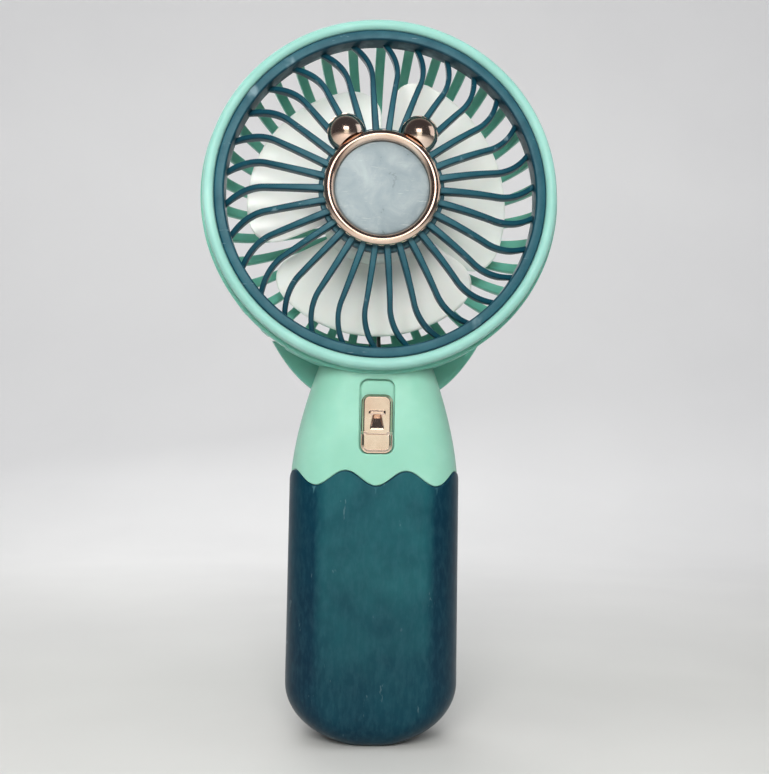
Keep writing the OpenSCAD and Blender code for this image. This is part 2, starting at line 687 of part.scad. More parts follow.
// the room the cage takes, a little larger than its round outside
module cage_room() on_axis() rotate_extrude($fn = 128) polygon(concat(
    [[0, -40], [cage_r + gap, -40]],
    cage_arc(-gap),
    [[0, cage_back + gap]]));
module flares() difference() {
    translate([0, flare_y1, 0]) rotate([90, 0, 0])
        linear_extrude(height = flare_y1 - flare_y0) flare_outline();
    cage_room();
}
module rear_shell() color(mint) difference() {
    union() {
        difference() {
            case_form();
            difference() {
                case_cavity();
                shell_bosses(0.05, half_d);
                for (x = [-neck_screw_x, neck_screw_x])
                    y_cylinder(x, neck_screw_z, 2.6, tongue_y1 + gap, half_d);
            }
            on_axis() disc_h(cage_r + gap, -40, 40);
        }
        flares();
    }
    translate([-big / 2, 0.02 - big, -big / 2]) cube([big, big, 2 * big]);
    for (x = [-shell_screw_x, shell_screw_x], z = shell_screw_z) {
        y_cylinder(x, z, clear_r, -1, 20);
        y_cylinder(x, z, head_r + 0.2, shell_screw_y - head_h - 0.05, 20);
    }
    for (x = [-neck_screw_x, neck_screw_x]) {
        y_cylinder(x, neck_screw_z, clear_r, 0, 20);
        y_cylinder(x, neck_screw_z, head_r + 0.2, neck_screw_y - head_h - 0.05, 20);
    }
}
module handle_sleeve() color(deep_teal) loft(concat(
    [for (z = end_levels) form_ring(z, 0)],
    [form_ring(lap_z, 0), wave_ring(0), wave_ring(sleeve_inset)],
    [form_ring(lap_z, sleeve_inset)],
    [for (i = [end_steps : -1 : 0]) form_ring(end_levels[i], sleeve_inset, wall)]));

// ---------------------------------------------------------------- fasteners
// a screw whose head faces the back of the fan
module back_screw(x, z, head_y, length) {
    translate([x, head_y, z]) rotate([90, 0, 0]) screw(head_r, head_h, shank_r, length);
}
module shell_screws() color(steel)
    for (x = [-shell_screw_x, shell_screw_x], z = shell_screw_z) back_screw(x, z, shell_screw_y, 14);
module neck_screws() color(steel)
    for (x = [-neck_screw_x, neck_screw_x]) back_screw(x, neck_screw_z, neck_screw_y, 22);
module board_screws() color(steel)
    for (x = [-board_screw_x, board_screw_x])
        back_screw(x, board_screw_z, board_y + board_t + 1.25, 5.5);

// ---------------------------------------------------------------- switch
button_w = 8.6;
button_z0 = recess_z0 + 0.25;
button_h = 16.1;
button_front = -15.5;
stem_z = 87.3;              // height of the slider's lever at rest
lever_w = 1.5;
lever_h = 2;
housing_z0 = 83.2;
housing_z1 = 95;
housing_y0 = -9.3;
housing_w = 6.6;
module slide_button() color(rose_gold) difference() {
    union() {
        rounded_block(button_w, button_z0, button_z0 + button_h, 2.0, button_front + 0.6,
            floor_y - 0.3);
        rounded_block(button_w - 1, button_z0 + 0.5, button_z0 + button_h - 0.5, 1.7,
            button_front, floor_y - 1);
        translate([-1.5, floor_y - 1, stem_z - 1.7]) cube([3, 3.2, 3.4]);
    }
    translate([-lever_w / 2 - 0.06, floor_y - 0.4, stem_z - lever_h / 2 - 0.06])
        cube([lever_w + 0.12, 4, lever_h + 0.12]);
    // finger notch
    translate([0, button_front - 3.4, button_z0 + button_h / 2]) rotate([0, 90, 0])
        cylinder(r = 4, h = 5, center = true);
}
module switch_slider() color(black_plastic) {
    translate([-lever_w / 2, floor_y - 0.3, stem_z - lever_h / 2]) cube([lever_w, 5.6, lever_h]);
    translate([-2.4, -8.2, stem_z - 2.4]) cube([4.8, 2.2, 4.8]);
}
module switch_housing() color(steel) difference() {
    translate([-housing_w / 2, housing_y0, housing_z0])
        cube([housing_w, board_y - housing_y0 - 0.02, housing_z1 - housing_z0]);
    translate([-2.7, -8.5, stem_z - 2.7]) cube([5.4, 2.8, 4.8 + button_travel + 0.6]);
    translate([-1.1, housing_y0 - 1, stem_z - lever_h / 2 - 0.3])
        cube([2.2, 3, lever_h + button_travel + 0.6]);
}

// ---------------------------------------------------------------- electronics and power
module circuit_board() color(board_green) difference() {
    translate([-board_half_w, board_y, board_z0])
        cube([2 * board_half_w, board_t, board_z1 - board_z0]);
    for (x = [-board_screw_x, board_screw_x])
        y_cylinder(x, board_screw_z, 1.0, board_y - 1, board_y + board_t + 1);
}
chip_sizes = [[-8.5, 88, 4.0, 4.9, 1.5], [-1.5, 80, 3.0, 3.0, 1.2], [-9.5, 81.5, 2.0, 1.3, 0.9],
    [-6.5, 81.5, 1.3, 2.0, 0.7]];
module control_chips() color(black_plastic) for (c = chip_sizes)
    translate([c[0] - c[2] / 2, board_y + board_t + 0.02, c[1] - c[3] / 2])
        cube([c[2], c[4], c[3]]);
module charge_socket() color(steel) difference() {
    socket_hole(0, 12.2, 20.2);
    socket_hole(-0.35, 13.4, 21);
}
module charge_led() color(clear_plastic)
    translate([11.6, board_y + board_t + 0.02, led_z - 0.8]) cube([1.6, 0.8, 1.6]);
module led_light_pipe() color(clear_plastic) translate([13.6, socket_y, led_z])
    rotate([0, 90, 0]) cylinder(r = 0.8, h = 6.3, $fn = 32);
cell_r = 9.15;
cell_h = 65;
cell_z = 7.2;
foam_r = 5;
module battery_cell() color(cell_blue) {
    translate([0, 0, cell_z]) cylinder(r = cell_r, h = cell_h - 1.2);
    translate([0, 0, cell_z + cell_h - 1.25]) cylinder(r = 3.2, h = 1.25);
}
module battery_foam() color(foam_grey) translate([0, 0, cavity_floor + 0.1])
    cylinder(r = foam_r, h = cell_z - cavity_floor - 0.2);
battery_wire_r = 0.65;
plus_wire = [[0, cell_z + cell_h + 0.3], [0, cell_z + cell_h + 1.5], [-0.6, cell_z + cell_h + 4],
    [-2.2, 79.5], [-3.65, 79.5]];
minus_wire = [[7.5, cell_z - 0.7], [9.6, cell_z - 0.3], [10.3, cell_z + 2.5],
    [10.3, cell_z + cell_h - 2], [9, cell_z + cell_h + 3], [3, cell_z + cell_h + 7.5],
    [-2, cell_z + cell_h + 8.6], [-3.65, cell_z + cell_h + 8.6]];
module battery_wires() {
    color(wire_red) wire(2, plus_wire, battery_wire_r);
    color(wire_black) wire(4.6, minus_wire, battery_wire_r);
}

front_bezel();
front_grille();
hub_ring();
left_ear();
right_ear();
hub_disc();
rear_grille();
impeller();
motor_shaft();
armature_core();
armature_windings();
commutator();
motor_can();
motor_magnets();
front_bush();
rear_bush();
motor_brushes();
motor_end_cap();
motor_clamp_ring();
motor_screws();
motor_wires();
front_shell();
rear_shell();
handle_sleeve();
shell_screws();
neck_screws();
slide_button();
switch_slider();
switch_housing();
circuit_board();
board_screws();
control_chips();
charge_socket();
charge_led();
led_light_pipe();
battery_cell();
battery_wires();
battery_foam();
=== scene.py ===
"""Handheld electric fan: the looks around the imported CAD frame.

Lengths are written in millimetres and turned into metres by mm(). The frame has +Z up along the
handle, the front towards -Y, and the origin at the centre of the base.
"""

import json
import math

import bmesh
import bpy
from mathutils import Matrix, Vector


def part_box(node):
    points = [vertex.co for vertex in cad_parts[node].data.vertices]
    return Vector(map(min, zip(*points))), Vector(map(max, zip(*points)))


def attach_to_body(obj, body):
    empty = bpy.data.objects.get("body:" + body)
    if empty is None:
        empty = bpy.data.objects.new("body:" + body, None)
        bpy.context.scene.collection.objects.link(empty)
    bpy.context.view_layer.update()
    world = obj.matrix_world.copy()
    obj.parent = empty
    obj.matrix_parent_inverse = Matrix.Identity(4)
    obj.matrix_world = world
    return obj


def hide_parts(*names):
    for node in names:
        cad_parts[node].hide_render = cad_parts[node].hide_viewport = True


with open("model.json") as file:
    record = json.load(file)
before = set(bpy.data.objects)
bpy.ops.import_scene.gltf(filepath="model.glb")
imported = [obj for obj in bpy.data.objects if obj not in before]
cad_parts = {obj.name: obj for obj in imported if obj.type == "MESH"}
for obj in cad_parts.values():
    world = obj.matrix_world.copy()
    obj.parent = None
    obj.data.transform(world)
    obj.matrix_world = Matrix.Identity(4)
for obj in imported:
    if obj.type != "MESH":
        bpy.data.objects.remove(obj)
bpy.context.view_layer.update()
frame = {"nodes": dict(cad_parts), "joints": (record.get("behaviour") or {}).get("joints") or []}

MM = 0.001
BODY = "fan_body"
SPIN = "impeller_assembly"
KNOB = "switch_knob"


def mm(*values):
    """One or more lengths in millimetres, in metres."""
    return values[0] * MM if len(values) == 1 else Vector([v * MM for v in values])


def node_box(name):
    """Lowest and highest corner of a CAD node in millimetres."""
    lo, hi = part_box(name)
    return lo / MM, hi / MM


# Driving sizes, read from the frame
BEZEL_LO, BEZEL_HI = node_box("front_bezel")
SLEEVE_HI = node_box("handle_sleeve")[1]
RING_LO, RING_HI = node_box("hub_ring")
BUTTON_LO, BUTTON_HI = node_box("slide_button")
IMP_LO, IMP_HI = node_box("impeller")
HEAD_Z = next(j for j in frame["joints"] if j["name"] == "impeller_spin")["pos_m"][2] / MM


# ------------------------------------------------------------------ mesh helpers
def new_object(name, data):
    obj = bpy.data.objects.new(name, data)
    bpy.context.scene.collection.objects.link(obj)
    return obj


def mesh_object(name, verts, faces, smooth=True, material=None):
    """A new mesh object from points in millimetres, its faces turned outwards."""
    data = bpy.data.meshes.new(name)
    data.from_pydata([mm(*v) for v in verts], [], faces)
    data.validate()
    obj = new_object(name, data)
    edit(obj, lambda bm: bmesh.ops.recalc_face_normals(bm, faces=bm.faces))
    if smooth:
        obj.data.shade_smooth()
    if material:
        obj.data.materials.append(material)
    return obj


def edit(obj, change):
    """Runs change on the object's mesh."""
    bm = bmesh.new()
    bm.from_mesh(obj.data)
    change(bm)
    bm.to_mesh(obj.data)
    bm.free()


def weld(bm):
    """Merges doubled points and turns the faces outwards."""
    bmesh.ops.remove_doubles(bm, verts=bm.verts, dist=mm(0.001))
    bmesh.ops.dissolve_degenerate(bm, edges=bm.edges, dist=mm(0.001))
    bmesh.ops.recalc_face_normals(bm, faces=bm.faces)


def sharpen(obj, degrees):
    """Smooth shading with sharp edges above an angle; hands the object back."""
    limit = math.radians(degrees)

    def mark(bm):
        for edge in bm.edges:
            edge.smooth = len(edge.link_faces) == 2 and edge.calc_face_angle(0) < limit

    obj.data.shade_smooth()
    edit(obj, mark)
    return obj


def join(name, parts):
    """Several mesh objects as one piece."""
    target = bmesh.new()
    for part in parts:
        part.data.transform(part.matrix_world)
        target.from_mesh(part.data)
    data = bpy.data.meshes.new(name)
    target.to_mesh(data)
    target.free()
    for slot in parts[0].data.materials:
        data.materials.append(slot)
    for part in parts:
        bpy.data.objects.remove(part)
    return new_object(name, data)


def head_point(r, angle, depth):
    """A point of the head: angle runs clockwise from 3 o'clock as seen from the front."""
    return (r * math.cos(angle), depth, HEAD_Z - r * math.sin(angle))


def revolve(name, profile, steps=192, material=None, centre=(0.0, HEAD_Z)):
    """A closed profile of (radius, depth) turned about an axis along Y, the head's by default."""
    n = len(profile)
    verts = []
    for i in range(steps):
        a = 2 * math.pi * i / steps
        verts += [(centre[0] + r * math.cos(a), y, centre[1] - r * math.sin(a)) for r, y in profile]
    faces = []
    for i in range(steps):
        j = (i + 1) % steps
        for k in range(n):
            m = (k + 1) % n
            faces.append((i * n + k, i * n + m, j * n + m, j * n + k))
    obj = mesh_object(name, verts, faces, material=material)
    edit(obj, weld)
    obj.data.shade_smooth()
    return obj


def arc(cx, cy, r, a0, a1, steps):
    """Points of an arc in (radius, depth), angles in degrees."""
    return [(cx + r * math.cos(math.radians(a0 + (a1 - a0) * i / steps)),
             cy + r * math.sin(math.radians(a0 + (a1 - a0) * i / steps))) for i in range(steps + 1)]


def circle(cx, cy, r, steps):
    return arc(cx, cy, r, 0, 360, steps)[:-1]


def rounded_outline(half_w, z0, z1, r, steps):
    """Points around a rounded rectangle that is centred on its width."""
    w, lo, hi = half_w - r, z0 + r, z1 - r
    return [p for x, z, a in ((w, hi, 0), (-w, hi, 90), (-w, lo, 180), (w, lo, 270))
            for p in arc(x, z, r, a, a + 90, steps)]


def stack(name, loops, material=None, smooth=True):
    """Closed loops of points joined one to the next, with a cap at both ends."""
    n, last = len(loops[0]), len(loops) - 1
    faces = [(j * n + i, j * n + (i + 1) % n, (j + 1) * n + (i + 1) % n, (j + 1) * n + i)
             for j in range(last) for i in range(n)]
    faces += [tuple(range(n - 1, -1, -1)), tuple(last * n + i for i in range(n))]
    return mesh_object(name, [p for loop in loops for p in loop], faces, smooth, material)


def prism(name, points, near, far, material=None):
    """A closed outline of (x, z), extruded along Y."""
    return stack(name, [[(x, y, z) for x, z in points] for y in (near, far)], material, False)


def side_prism(name, points, near, far):
    """A closed outline of (y, z), extruded along X."""
    return stack(name, [[(x, y, z) for y, z in points] for x in (near, far)], smooth=False)


def sweep(name, path, normals, section, material):
    """A section of (across, along normal) swept through path; across is tangent x normal."""
    loops, last = [], len(path) - 1
    for i, (p, normal) in enumerate(zip(path, normals)):
        tangent = (path[min(i + 1, last)] - path[max(i - 1, 0)]).normalized()
        normal = (normal - tangent * normal.dot(tangent)).normalized()
        side = tangent.cross(normal)
        loops.append([tuple(p + side * a + normal * b) for a, b in section(i / last)])
    return stack(name, loops, material)


def grid_faces(cols, rows, first=0):
    """Quads of a grid of points, stored row by row from index first."""
    n = cols + 1
    return [(a, a + 1, a + n + 1, a + n)
            for a in (first + j * n + i for j in range(rows) for i in range(cols))]


def grid_rim(cols, rows):
    """Indices of a grid's border points, in order."""
    n = cols + 1
    return [*range(n), *(j * n + cols for j in range(1, rows + 1)),
            *(rows * n + i for i in range(cols - 1, -1, -1)),
            *(j * n for j in range(rows - 1, 0, -1))]


def slab(name, front, back, cols, rows, material):
    """A closed sheet between two grids of points."""
    size, rim = len(front), grid_rim(cols, rows)
    faces = grid_faces(cols, rows) + grid_faces(cols, rows, size)
    faces += [(v, u, size + u, size + v) for u, v in zip(rim, rim[1:] + rim[:1])]
    return mesh_object(name, front + back, faces, material=material)


# ------------------------------------------------------------------ material helpers
class Nodes:
    """A short way to build the nodes of a material or of the world."""

    def __init__(self, name, owner=None, shader="Principled BSDF", place="Object"):
        self.material = owner or bpy.data.materials.new(name)
        self.material.use_nodes = True
        self.tree = self.material.node_tree
        self.shader = self.tree.nodes[shader]
        self.place = self.add("ShaderNodeTexCoord").outputs[place]

    def put(self, socket, value):
        """Links value into the socket when it is a socket itself, else sets it there."""
        if isinstance(value, bpy.types.NodeSocket):
            self.tree.links.new(value, socket)
        else:
            socket.default_value = value

    def add(self, kind, inputs=None, **props):
        node = self.tree.nodes.new(kind)
        for key, value in props.items():
            setattr(node, key, value)
        for key, value in (inputs or {}).items():
            self.put(node.inputs[key], value)
        return node

    def set(self, **inputs):
        for key, value in inputs.items():
            self.put(self.shader.inputs[key.replace("_", " ")], value)

    def noise(self, scale, detail=3.0, rough=0.5, stretch=None, distortion=0.0):
        vector = self.place
        if stretch:
            vector = self.add("ShaderNodeMapping", {"Vector": vector, "Scale": stretch}).outputs[0]
        node = self.add("ShaderNodeTexNoise", {"Vector": vector, "Scale": scale, "Detail": detail,
                                               "Roughness": rough, "Distortion": distortion})
        return node.outputs["Fac"]

    def axis(self, letter, vector=None):
        """One coordinate of a vector, of the place by default."""
        return self.add("ShaderNodeSeparateXYZ", {"Vector": vector or self.place}).outputs[letter]

    def fronts(self, full):
        """1 where a face looks straight ahead, 0 where it turns away."""
        normal = self.add("ShaderNodeNewGeometry").outputs["Normal"]
        return self.remap(self.axis("Y", normal), -0.93, full, 0.0, 1.0)

    def ramp(self, value, stops):
        node = self.add("ShaderNodeValToRGB", {"Fac": value})
        points = node.color_ramp.elements
        while len(points) < len(stops):
            points.new(0.5)
        for point, (where, colour) in zip(points, stops):
            point.position = where
            point.color = (*colour, 1)
        return node.outputs["Color"]

    def remap(self, value, lo, hi, out_lo, out_hi):
        node = self.add("ShaderNodeMapRange", {"Value": value, "From Min": lo, "From Max": hi,
                                               "To Min": out_lo, "To Max": out_hi})
        return node.outputs["Result"]

    def mix(self, factor, a, b, blend="MIX"):
        node = self.add("ShaderNodeMix", data_type="RGBA", blend_type=blend)
        for index, value in ((0, factor), (6, a), (7, b)):
            self.put(node.inputs[index], (*value, 1) if isinstance(value, tuple) else value)
        return node.outputs[2]

    def math(self, operation, a, b=0.0):
        node = self.add("ShaderNodeMath", {0: a, 1: b}, operation=operation)
        return node.outputs[0]

    def bump(self, *layers):
        """Layers of (height socket, strength, distance in mm)."""
        normal = None
        for height, strength, distance in layers:
            inputs = {"Height": height, "Strength": strength, "Distance": mm(distance)}
            if normal:
                inputs["Normal"] = normal
            normal = self.add("ShaderNodeBump", inputs).outputs["Normal"]
        self.set(Normal=normal)

    def edges(self, amount):
        """1 on convex edges, 0 elsewhere, broken up by noise."""
        point = self.add("ShaderNodeNewGeometry").outputs["Pointiness"]
        worn = self.remap(point, 0.52, 0.60, 0.0, 1.0)
        return self.math("MULTIPLY", worn, self.remap(self.noise(260, 2), 0.45, 0.7, 0.0, amount))


def scratches(mat, scale, stretch, width, turn):
    """Thin lines at one angle, as a 0 to 1 mask."""
    mapping = mat.add("ShaderNodeMapping", {"Vector": mat.place, "Rotation": turn,
                                            "Scale": stretch})
    warp = mat.add("ShaderNodeTexNoise", {"Vector": mapping.outputs["Vector"], "Scale": scale,
                                          "Detail": 4.0, "Roughness": 0.7})
    return mat.remap(warp.outputs["Fac"], 0.66, 0.66 + width, 0.0, 1.0)


def moulded(name, base, dark, light, rough, subsurface=0.0, grain=0.25, coat=0.0, scuff=0.5):
    """Moulded plastic: slight colour drift, fine grain, scuffs and paler worn edges."""
    mat = Nodes(name)
    drift = mat.ramp(mat.noise(38, 4, 0.55), [(0.30, dark), (0.52, base), (0.75, light)])
    speck = mat.noise(1500, 2, 0.6)
    colour = mat.mix(mat.remap(speck, 0.62, 0.75, 0.0, 0.16), drift, dark)
    worn = mat.edges(0.5)
    colour = mat.mix(worn, colour, light)
    marks = scratches(mat, 55, (1, 1, 7), 0.03, (0.3, 0.2, 0.7))
    colour = mat.mix(mat.math("MULTIPLY", marks, 0.12 * scuff), colour, light)
    smudge = mat.noise(60, 5, 0.6, distortion=0.4)
    roughness = mat.math("ADD", mat.remap(smudge, 0.3, 0.75, rough - 0.05, rough + 0.09),
                         mat.math("MULTIPLY", marks, 0.10))
    mat.set(Base_Color=colour, Roughness=roughness, Metallic=0.0, IOR=1.48, Coat_Weight=coat,
            Coat_Roughness=0.25, Subsurface_Weight=subsurface, Subsurface_Scale=mm(2.0))
    mat.bump((speck, grain, 0.03), (mat.noise(240, 3), 0.08, 0.12), (marks, 0.05 * scuff, 0.02))
    return mat.material


def make_materials():
    return {
        "mint": moulded("mint_plastic", (0.245, 0.515, 0.405), (0.210, 0.470, 0.360),
                        (0.320, 0.595, 0.485), 0.42, subsurface=0.06, grain=0.10, coat=0.08),
        "mint_head": moulded("mint_head_plastic", (0.255, 0.505, 0.450), (0.220, 0.460, 0.405),
                             (0.330, 0.590, 0.530), 0.38, subsurface=0.06, grain=0.08,
                             coat=0.12),
        # painted shade: a darker copy of the mint plastic for the cage, the flare and the rear
        # shell
        "mint_painted_shade": moulded("mint_painted_shade_plastic", (0.150, 0.460, 0.360), (0.115, 0.400, 0.310),
                             (0.230, 0.560, 0.450), 0.38, subsurface=0.12, grain=0.10),
        "white": moulded("impeller_plastic", (0.86, 0.88, 0.85), (0.80, 0.825, 0.79),
                         (0.92, 0.93, 0.91), 0.33, subsurface=0.05, grain=0.06, coat=0.15),
        "black": moulded("black_plastic", (0.018, 0.018, 0.020), (0.010, 0.010, 0.011),
                         (0.05, 0.05, 0.055), 0.42),
        "teal": teal_plastic(),
        "teal_sleeve": sleeve_plastic(),
        "rose": plated(),
        "slate": slate_disc(),
        "steel": metal("motor_steel", (0.52, 0.52, 0.54), 0.30),
        "screw": metal("screw_steel", (0.42, 0.42, 0.45), 0.34),
        "iron": metal("laminated_iron", (0.11, 0.11, 0.12), 0.5),
        "copper": metal("enamelled_copper", (0.55, 0.22, 0.08), 0.30),
        "brass": metal("sintered_brass", (0.62, 0.44, 0.17), 0.42),
        "board": board_mask(),
        "cell": moulded("cell_wrap", (0.02, 0.085, 0.30), (0.015, 0.06, 0.24),
                        (0.05, 0.14, 0.40), 0.25, coat=0.3),
        "wire_red": moulded("wire_red", (0.50, 0.02, 0.015), (0.40, 0.015, 0.01),
                            (0.6, 0.06, 0.05), 0.45),
        "foam": foam(),
        "clear": clear_plastic(),
    }


def teal_plastic():
    """Dark teal moulding with a painted sheen: faces that look straight ahead are painted paler and
    made a little smoother.
    """
    mat = Nodes("teal_plastic")
    drift = mat.ramp(mat.noise(45, 4, 0.6), [(0.30, (0.001, 0.026, 0.045)),
                                             (0.55, (0.002, 0.040, 0.062)),
                                             (0.80, (0.004, 0.060, 0.085))])
    # painted sheen: paler colour on faces that look straight ahead, broken up by noise
    front = mat.fronts(-0.998)
    sheen_breakup = mat.remap(mat.noise(170, 4, 0.65), 0.30, 0.66, 0.45, 1.0)
    front_sheen = mat.math("MULTIPLY", front, sheen_breakup)
    colour = mat.mix(mat.math("MULTIPLY", front_sheen, 0.70), drift, (0.036, 0.125, 0.155))
    marks = scratches(mat, 120, (1, 1, 5), 0.04, (0.4, 0.9, 0.2))
    colour = mat.mix(mat.math("MULTIPLY", marks, 0.35), colour, (0.30, 0.38, 0.41))
    colour = mat.mix(mat.edges(0.55), colour, (0.22, 0.32, 0.36))
    roughness = mat.math("SUBTRACT", 0.42, mat.math("MULTIPLY", front_sheen, 0.08))
    speck = mat.noise(1700, 2, 0.6)
    mat.set(Base_Color=colour, Roughness=roughness, Metallic=0.0, IOR=1.5,
            Specular_IOR_Level=0.24, Coat_Weight=0.06, Coat_Roughness=0.22)
    mat.bump((speck, 0.10, 0.03), (mat.noise(300, 3), 0.10, 0.10), (marks, 0.10, 0.02))
    return mat.material


def sleeve_plastic():
    """The sleeve: the same teal with fine vertical grain and handling marks, and a painted sheen on
    its flat front that fades out towards the base.
    """
    mat = Nodes("teal_sleeve_plastic")
    drift = mat.ramp(mat.noise(30, 4, 0.6), [(0.30, (0.0, 0.016, 0.034)),
                                             (0.55, (0.0, 0.024, 0.044)),
                                             (0.80, (0.001, 0.036, 0.058))])
    fine = mat.noise(900, 3, 0.6, stretch=(1.0, 1.0, 0.35))
    weave = mat.remap(fine, 0.42, 0.66, 0.0, 1.0)
    # painted sheen: the flat front, broken up by noise, is painted paler
    flat = mat.fronts(-0.995)
    haze = mat.math("MULTIPLY", flat, mat.remap(mat.noise(75, 4, 0.6), 0.30, 0.70, 0.35, 0.85))
    # painted shade: the painted sheen fades out towards the base, so the lower sleeve is darker
    haze = mat.math("MULTIPLY", haze, mat.remap(mat.axis("Z"), mm(8), mm(45), 0.15, 1.0))
    colour = mat.mix(mat.math("MULTIPLY", haze, 0.62), drift, (0.020, 0.145, 0.155))
    colour = mat.mix(mat.math("MULTIPLY", weave, 0.12), colour, (0.05, 0.14, 0.17))
    marks = scratches(mat, 70, (4, 1, 1), 0.02, (0.2, 0.6, 0.4))
    colour = mat.mix(mat.math("MULTIPLY", marks, 0.16), colour, (0.26, 0.38, 0.41))
    colour = mat.mix(mat.edges(0.5), colour, (0.12, 0.30, 0.33))
    roughness = mat.remap(mat.noise(65, 5, 0.6), 0.3, 0.75, 0.30, 0.42)
    mat.set(Base_Color=colour, Roughness=roughness, IOR=1.5, Specular_IOR_Level=0.18)
    mat.bump((fine, 0.10, 0.03), (marks, 0.10, 0.02))
    return mat.material


def plated():
    """Polished rose gold plating with a faint orange-peel and small pits."""
    mat = Nodes("rose_gold_plating")
    tone = mat.ramp(mat.noise(90, 4, 0.6), [(0.30, (0.78, 0.53, 0.42)), (0.55, (0.88, 0.67, 0.55)),
                                            (0.80, (0.95, 0.80, 0.70))])
    pits = mat.remap(mat.noise(1400, 3, 0.7), 0.68, 0.74, 0.0, 1.0)
    colour = mat.mix(mat.math("MULTIPLY", pits, 0.5), tone, (0.25, 0.13, 0.09))
    smear = mat.noise(160, 5, 0.65, distortion=0.5)
    mat.set(Base_Color=colour, Metallic=1.0, IOR=1.5,
            Roughness=mat.remap(smear, 0.3, 0.75, 0.09, 0.22))
    mat.bump((mat.noise(420, 3), 0.06, 0.06), (pits, 0.2, 0.02))
    return mat.material


def slate_disc():
    """The hub's disc: metallic grey-blue lacquer with many fine scratches."""
    mat = Nodes("slate_disc")
    cloud = mat.noise(130, 6, 0.62, distortion=0.6)
    base = mat.ramp(cloud, [(0.28, (0.150, 0.190, 0.210)), (0.50, (0.215, 0.260, 0.280)),
                            (0.74, (0.330, 0.375, 0.390))])
    lines = None
    for turn, stretch in (((0, 0.35, 0), (1, 1, 14)), ((0, 1.25, 0), (1, 1, 12)),
                          ((0, 2.3, 0), (1, 1, 16)), ((0, 2.9, 0), (1, 1, 10))):
        one = scratches(mat, 95, stretch, 0.035, turn)
        lines = one if lines is None else mat.math("MAXIMUM", lines, one)
    colour = mat.mix(mat.math("MULTIPLY", lines, 0.45), base, (0.56, 0.60, 0.61))
    grit = mat.remap(mat.noise(1300, 2, 0.6), 0.60, 0.72, 0.0, 1.0)
    colour = mat.mix(mat.math("MULTIPLY", grit, 0.3), colour, (0.16, 0.21, 0.25))
    roughness = mat.math("ADD", mat.remap(cloud, 0.3, 0.7, 0.26, 0.40),
                         mat.math("MULTIPLY", lines, 0.15))
    mat.set(Base_Color=colour, Metallic=0.2, Roughness=roughness, IOR=1.5)
    mat.bump((lines, 0.15, 0.03), (grit, 0.10, 0.02))
    return mat.material


def metal(name, colour, rough):
    mat = Nodes(name)
    tone = mat.noise(120, 5, 0.6)
    dark = tuple(c * 0.75 for c in colour)
    light = tuple(min(1.0, c * 1.2) for c in colour)
    brushed = mat.noise(900, 3, 0.6, stretch=(1, 12, 1))
    mat.set(Base_Color=mat.ramp(tone, [(0.3, dark), (0.55, colour), (0.8, light)]), Metallic=1.0,
            Roughness=mat.remap(brushed, 0.3, 0.7, rough - 0.08, rough + 0.12))
    mat.bump((brushed, 0.12, 0.03))
    return mat.material


def board_mask():
    mat = Nodes("board_mask")
    tracks = mat.add("ShaderNodeTexBrick", {"Vector": mat.place, "Scale": 420.0,
                                            "Mortar Size": 0.03})
    lines = mat.remap(tracks.outputs["Fac"], 0.2, 0.8, 0.0, 1.0)
    colour = mat.mix(lines, (0.008, 0.105, 0.040), (0.020, 0.190, 0.080))
    mat.set(Base_Color=colour, Roughness=mat.remap(mat.noise(200), 0.3, 0.7, 0.22, 0.35))
    mat.bump((lines, 0.3, 0.03))
    return mat.material


def foam():
    mat = Nodes("grey_foam")
    cells = mat.add("ShaderNodeTexVoronoi", {"Vector": mat.place, "Scale": 2200.0})
    pits = mat.remap(cells.outputs["Distance"], 0.0, 0.7, 0.0, 1.0)
    mat.set(Base_Color=mat.mix(pits, (0.02, 0.02, 0.022), (0.10, 0.10, 0.11)), Roughness=0.9)
    mat.bump((pits, 0.8, 0.15))
    return mat.material


def clear_plastic():
    mat = Nodes("clear_plastic")
    haze = mat.noise(500, 3)
    mat.set(Base_Color=mat.ramp(haze, [(0.3, (0.80, 0.86, 0.88)), (0.7, (0.95, 0.97, 0.98))]),
            Roughness=mat.remap(haze, 0.3, 0.7, 0.10, 0.25), Transmission_Weight=0.85, IOR=1.49)
    mat.bump((haze, 0.1, 0.02))
    return mat.material


MAT = make_materials()


# ------------------------------------------------------------------ head, front
def make_bezel():
    """Mint ring: a round lip in front, a fine groove and a straight skirt behind."""
    out_r, front, back = BEZEL_HI.x, BEZEL_LO.y, BEZEL_HI.y
    lip = 1.55
    step_y = front + 2 * lip + 0.25
    flange_y, spigot_in, spigot_out = -14.1, 47.75, 48.65
    profile = arc(out_r - lip, front + lip, lip, 20, -180, 20)
    inner = out_r - 2 * lip
    profile += [(inner, flange_y), (spigot_in, flange_y), (spigot_in, back), (spigot_out, back),
                (spigot_out, flange_y), (out_r, flange_y), (out_r, step_y + 0.35),
                (out_r - 0.22, step_y + 0.15), (out_r - 0.22, step_y - 0.15)]
    bezel = revolve("front_bezel_visual", profile, 224, MAT["mint_head"])
    return sharpen(bezel, 42), "mint_plastic", ["front_bezel"]


RIB_COUNT = 30
RIB_R0, RIB_R1 = 15.5, 43.6
RIB_HUB_Y, RIB_DROP = -21.2, 6.5
RIB_START, RIB_LEAN, RIB_HOOK = -0.4, 2.0, 7.2
RIB_BEND, RIB_BEND_POWER = 0.6, 1.8
RIB_DEPTH, RIB_BACK = 2.9, -13.2


def rib_share(r):
    return max(0.0, (r - RIB_R0) / (RIB_R1 - RIB_R0))


def rib_angle(r):
    t = rib_share(r)
    hook = max(0.0, t - RIB_BEND) / (1 - RIB_BEND)
    return math.radians(RIB_LEAN * t - RIB_HOOK * hook ** RIB_BEND_POWER)


def rib_front(r):
    return RIB_HUB_Y + RIB_DROP * rib_share(r) ** 2


def rib_width(r):
    return 1.9 - 0.45 * min(1.0, rib_share(r) / 0.6)


def rib_section(t):
    r = RIB_R0 + (RIB_R1 - RIB_R0) * t
    depth = min(RIB_DEPTH, RIB_BACK - rib_front(r))
    return rounded_outline(rib_width(r) / 2, -max(1.0, depth), 0, 0.36, 4)


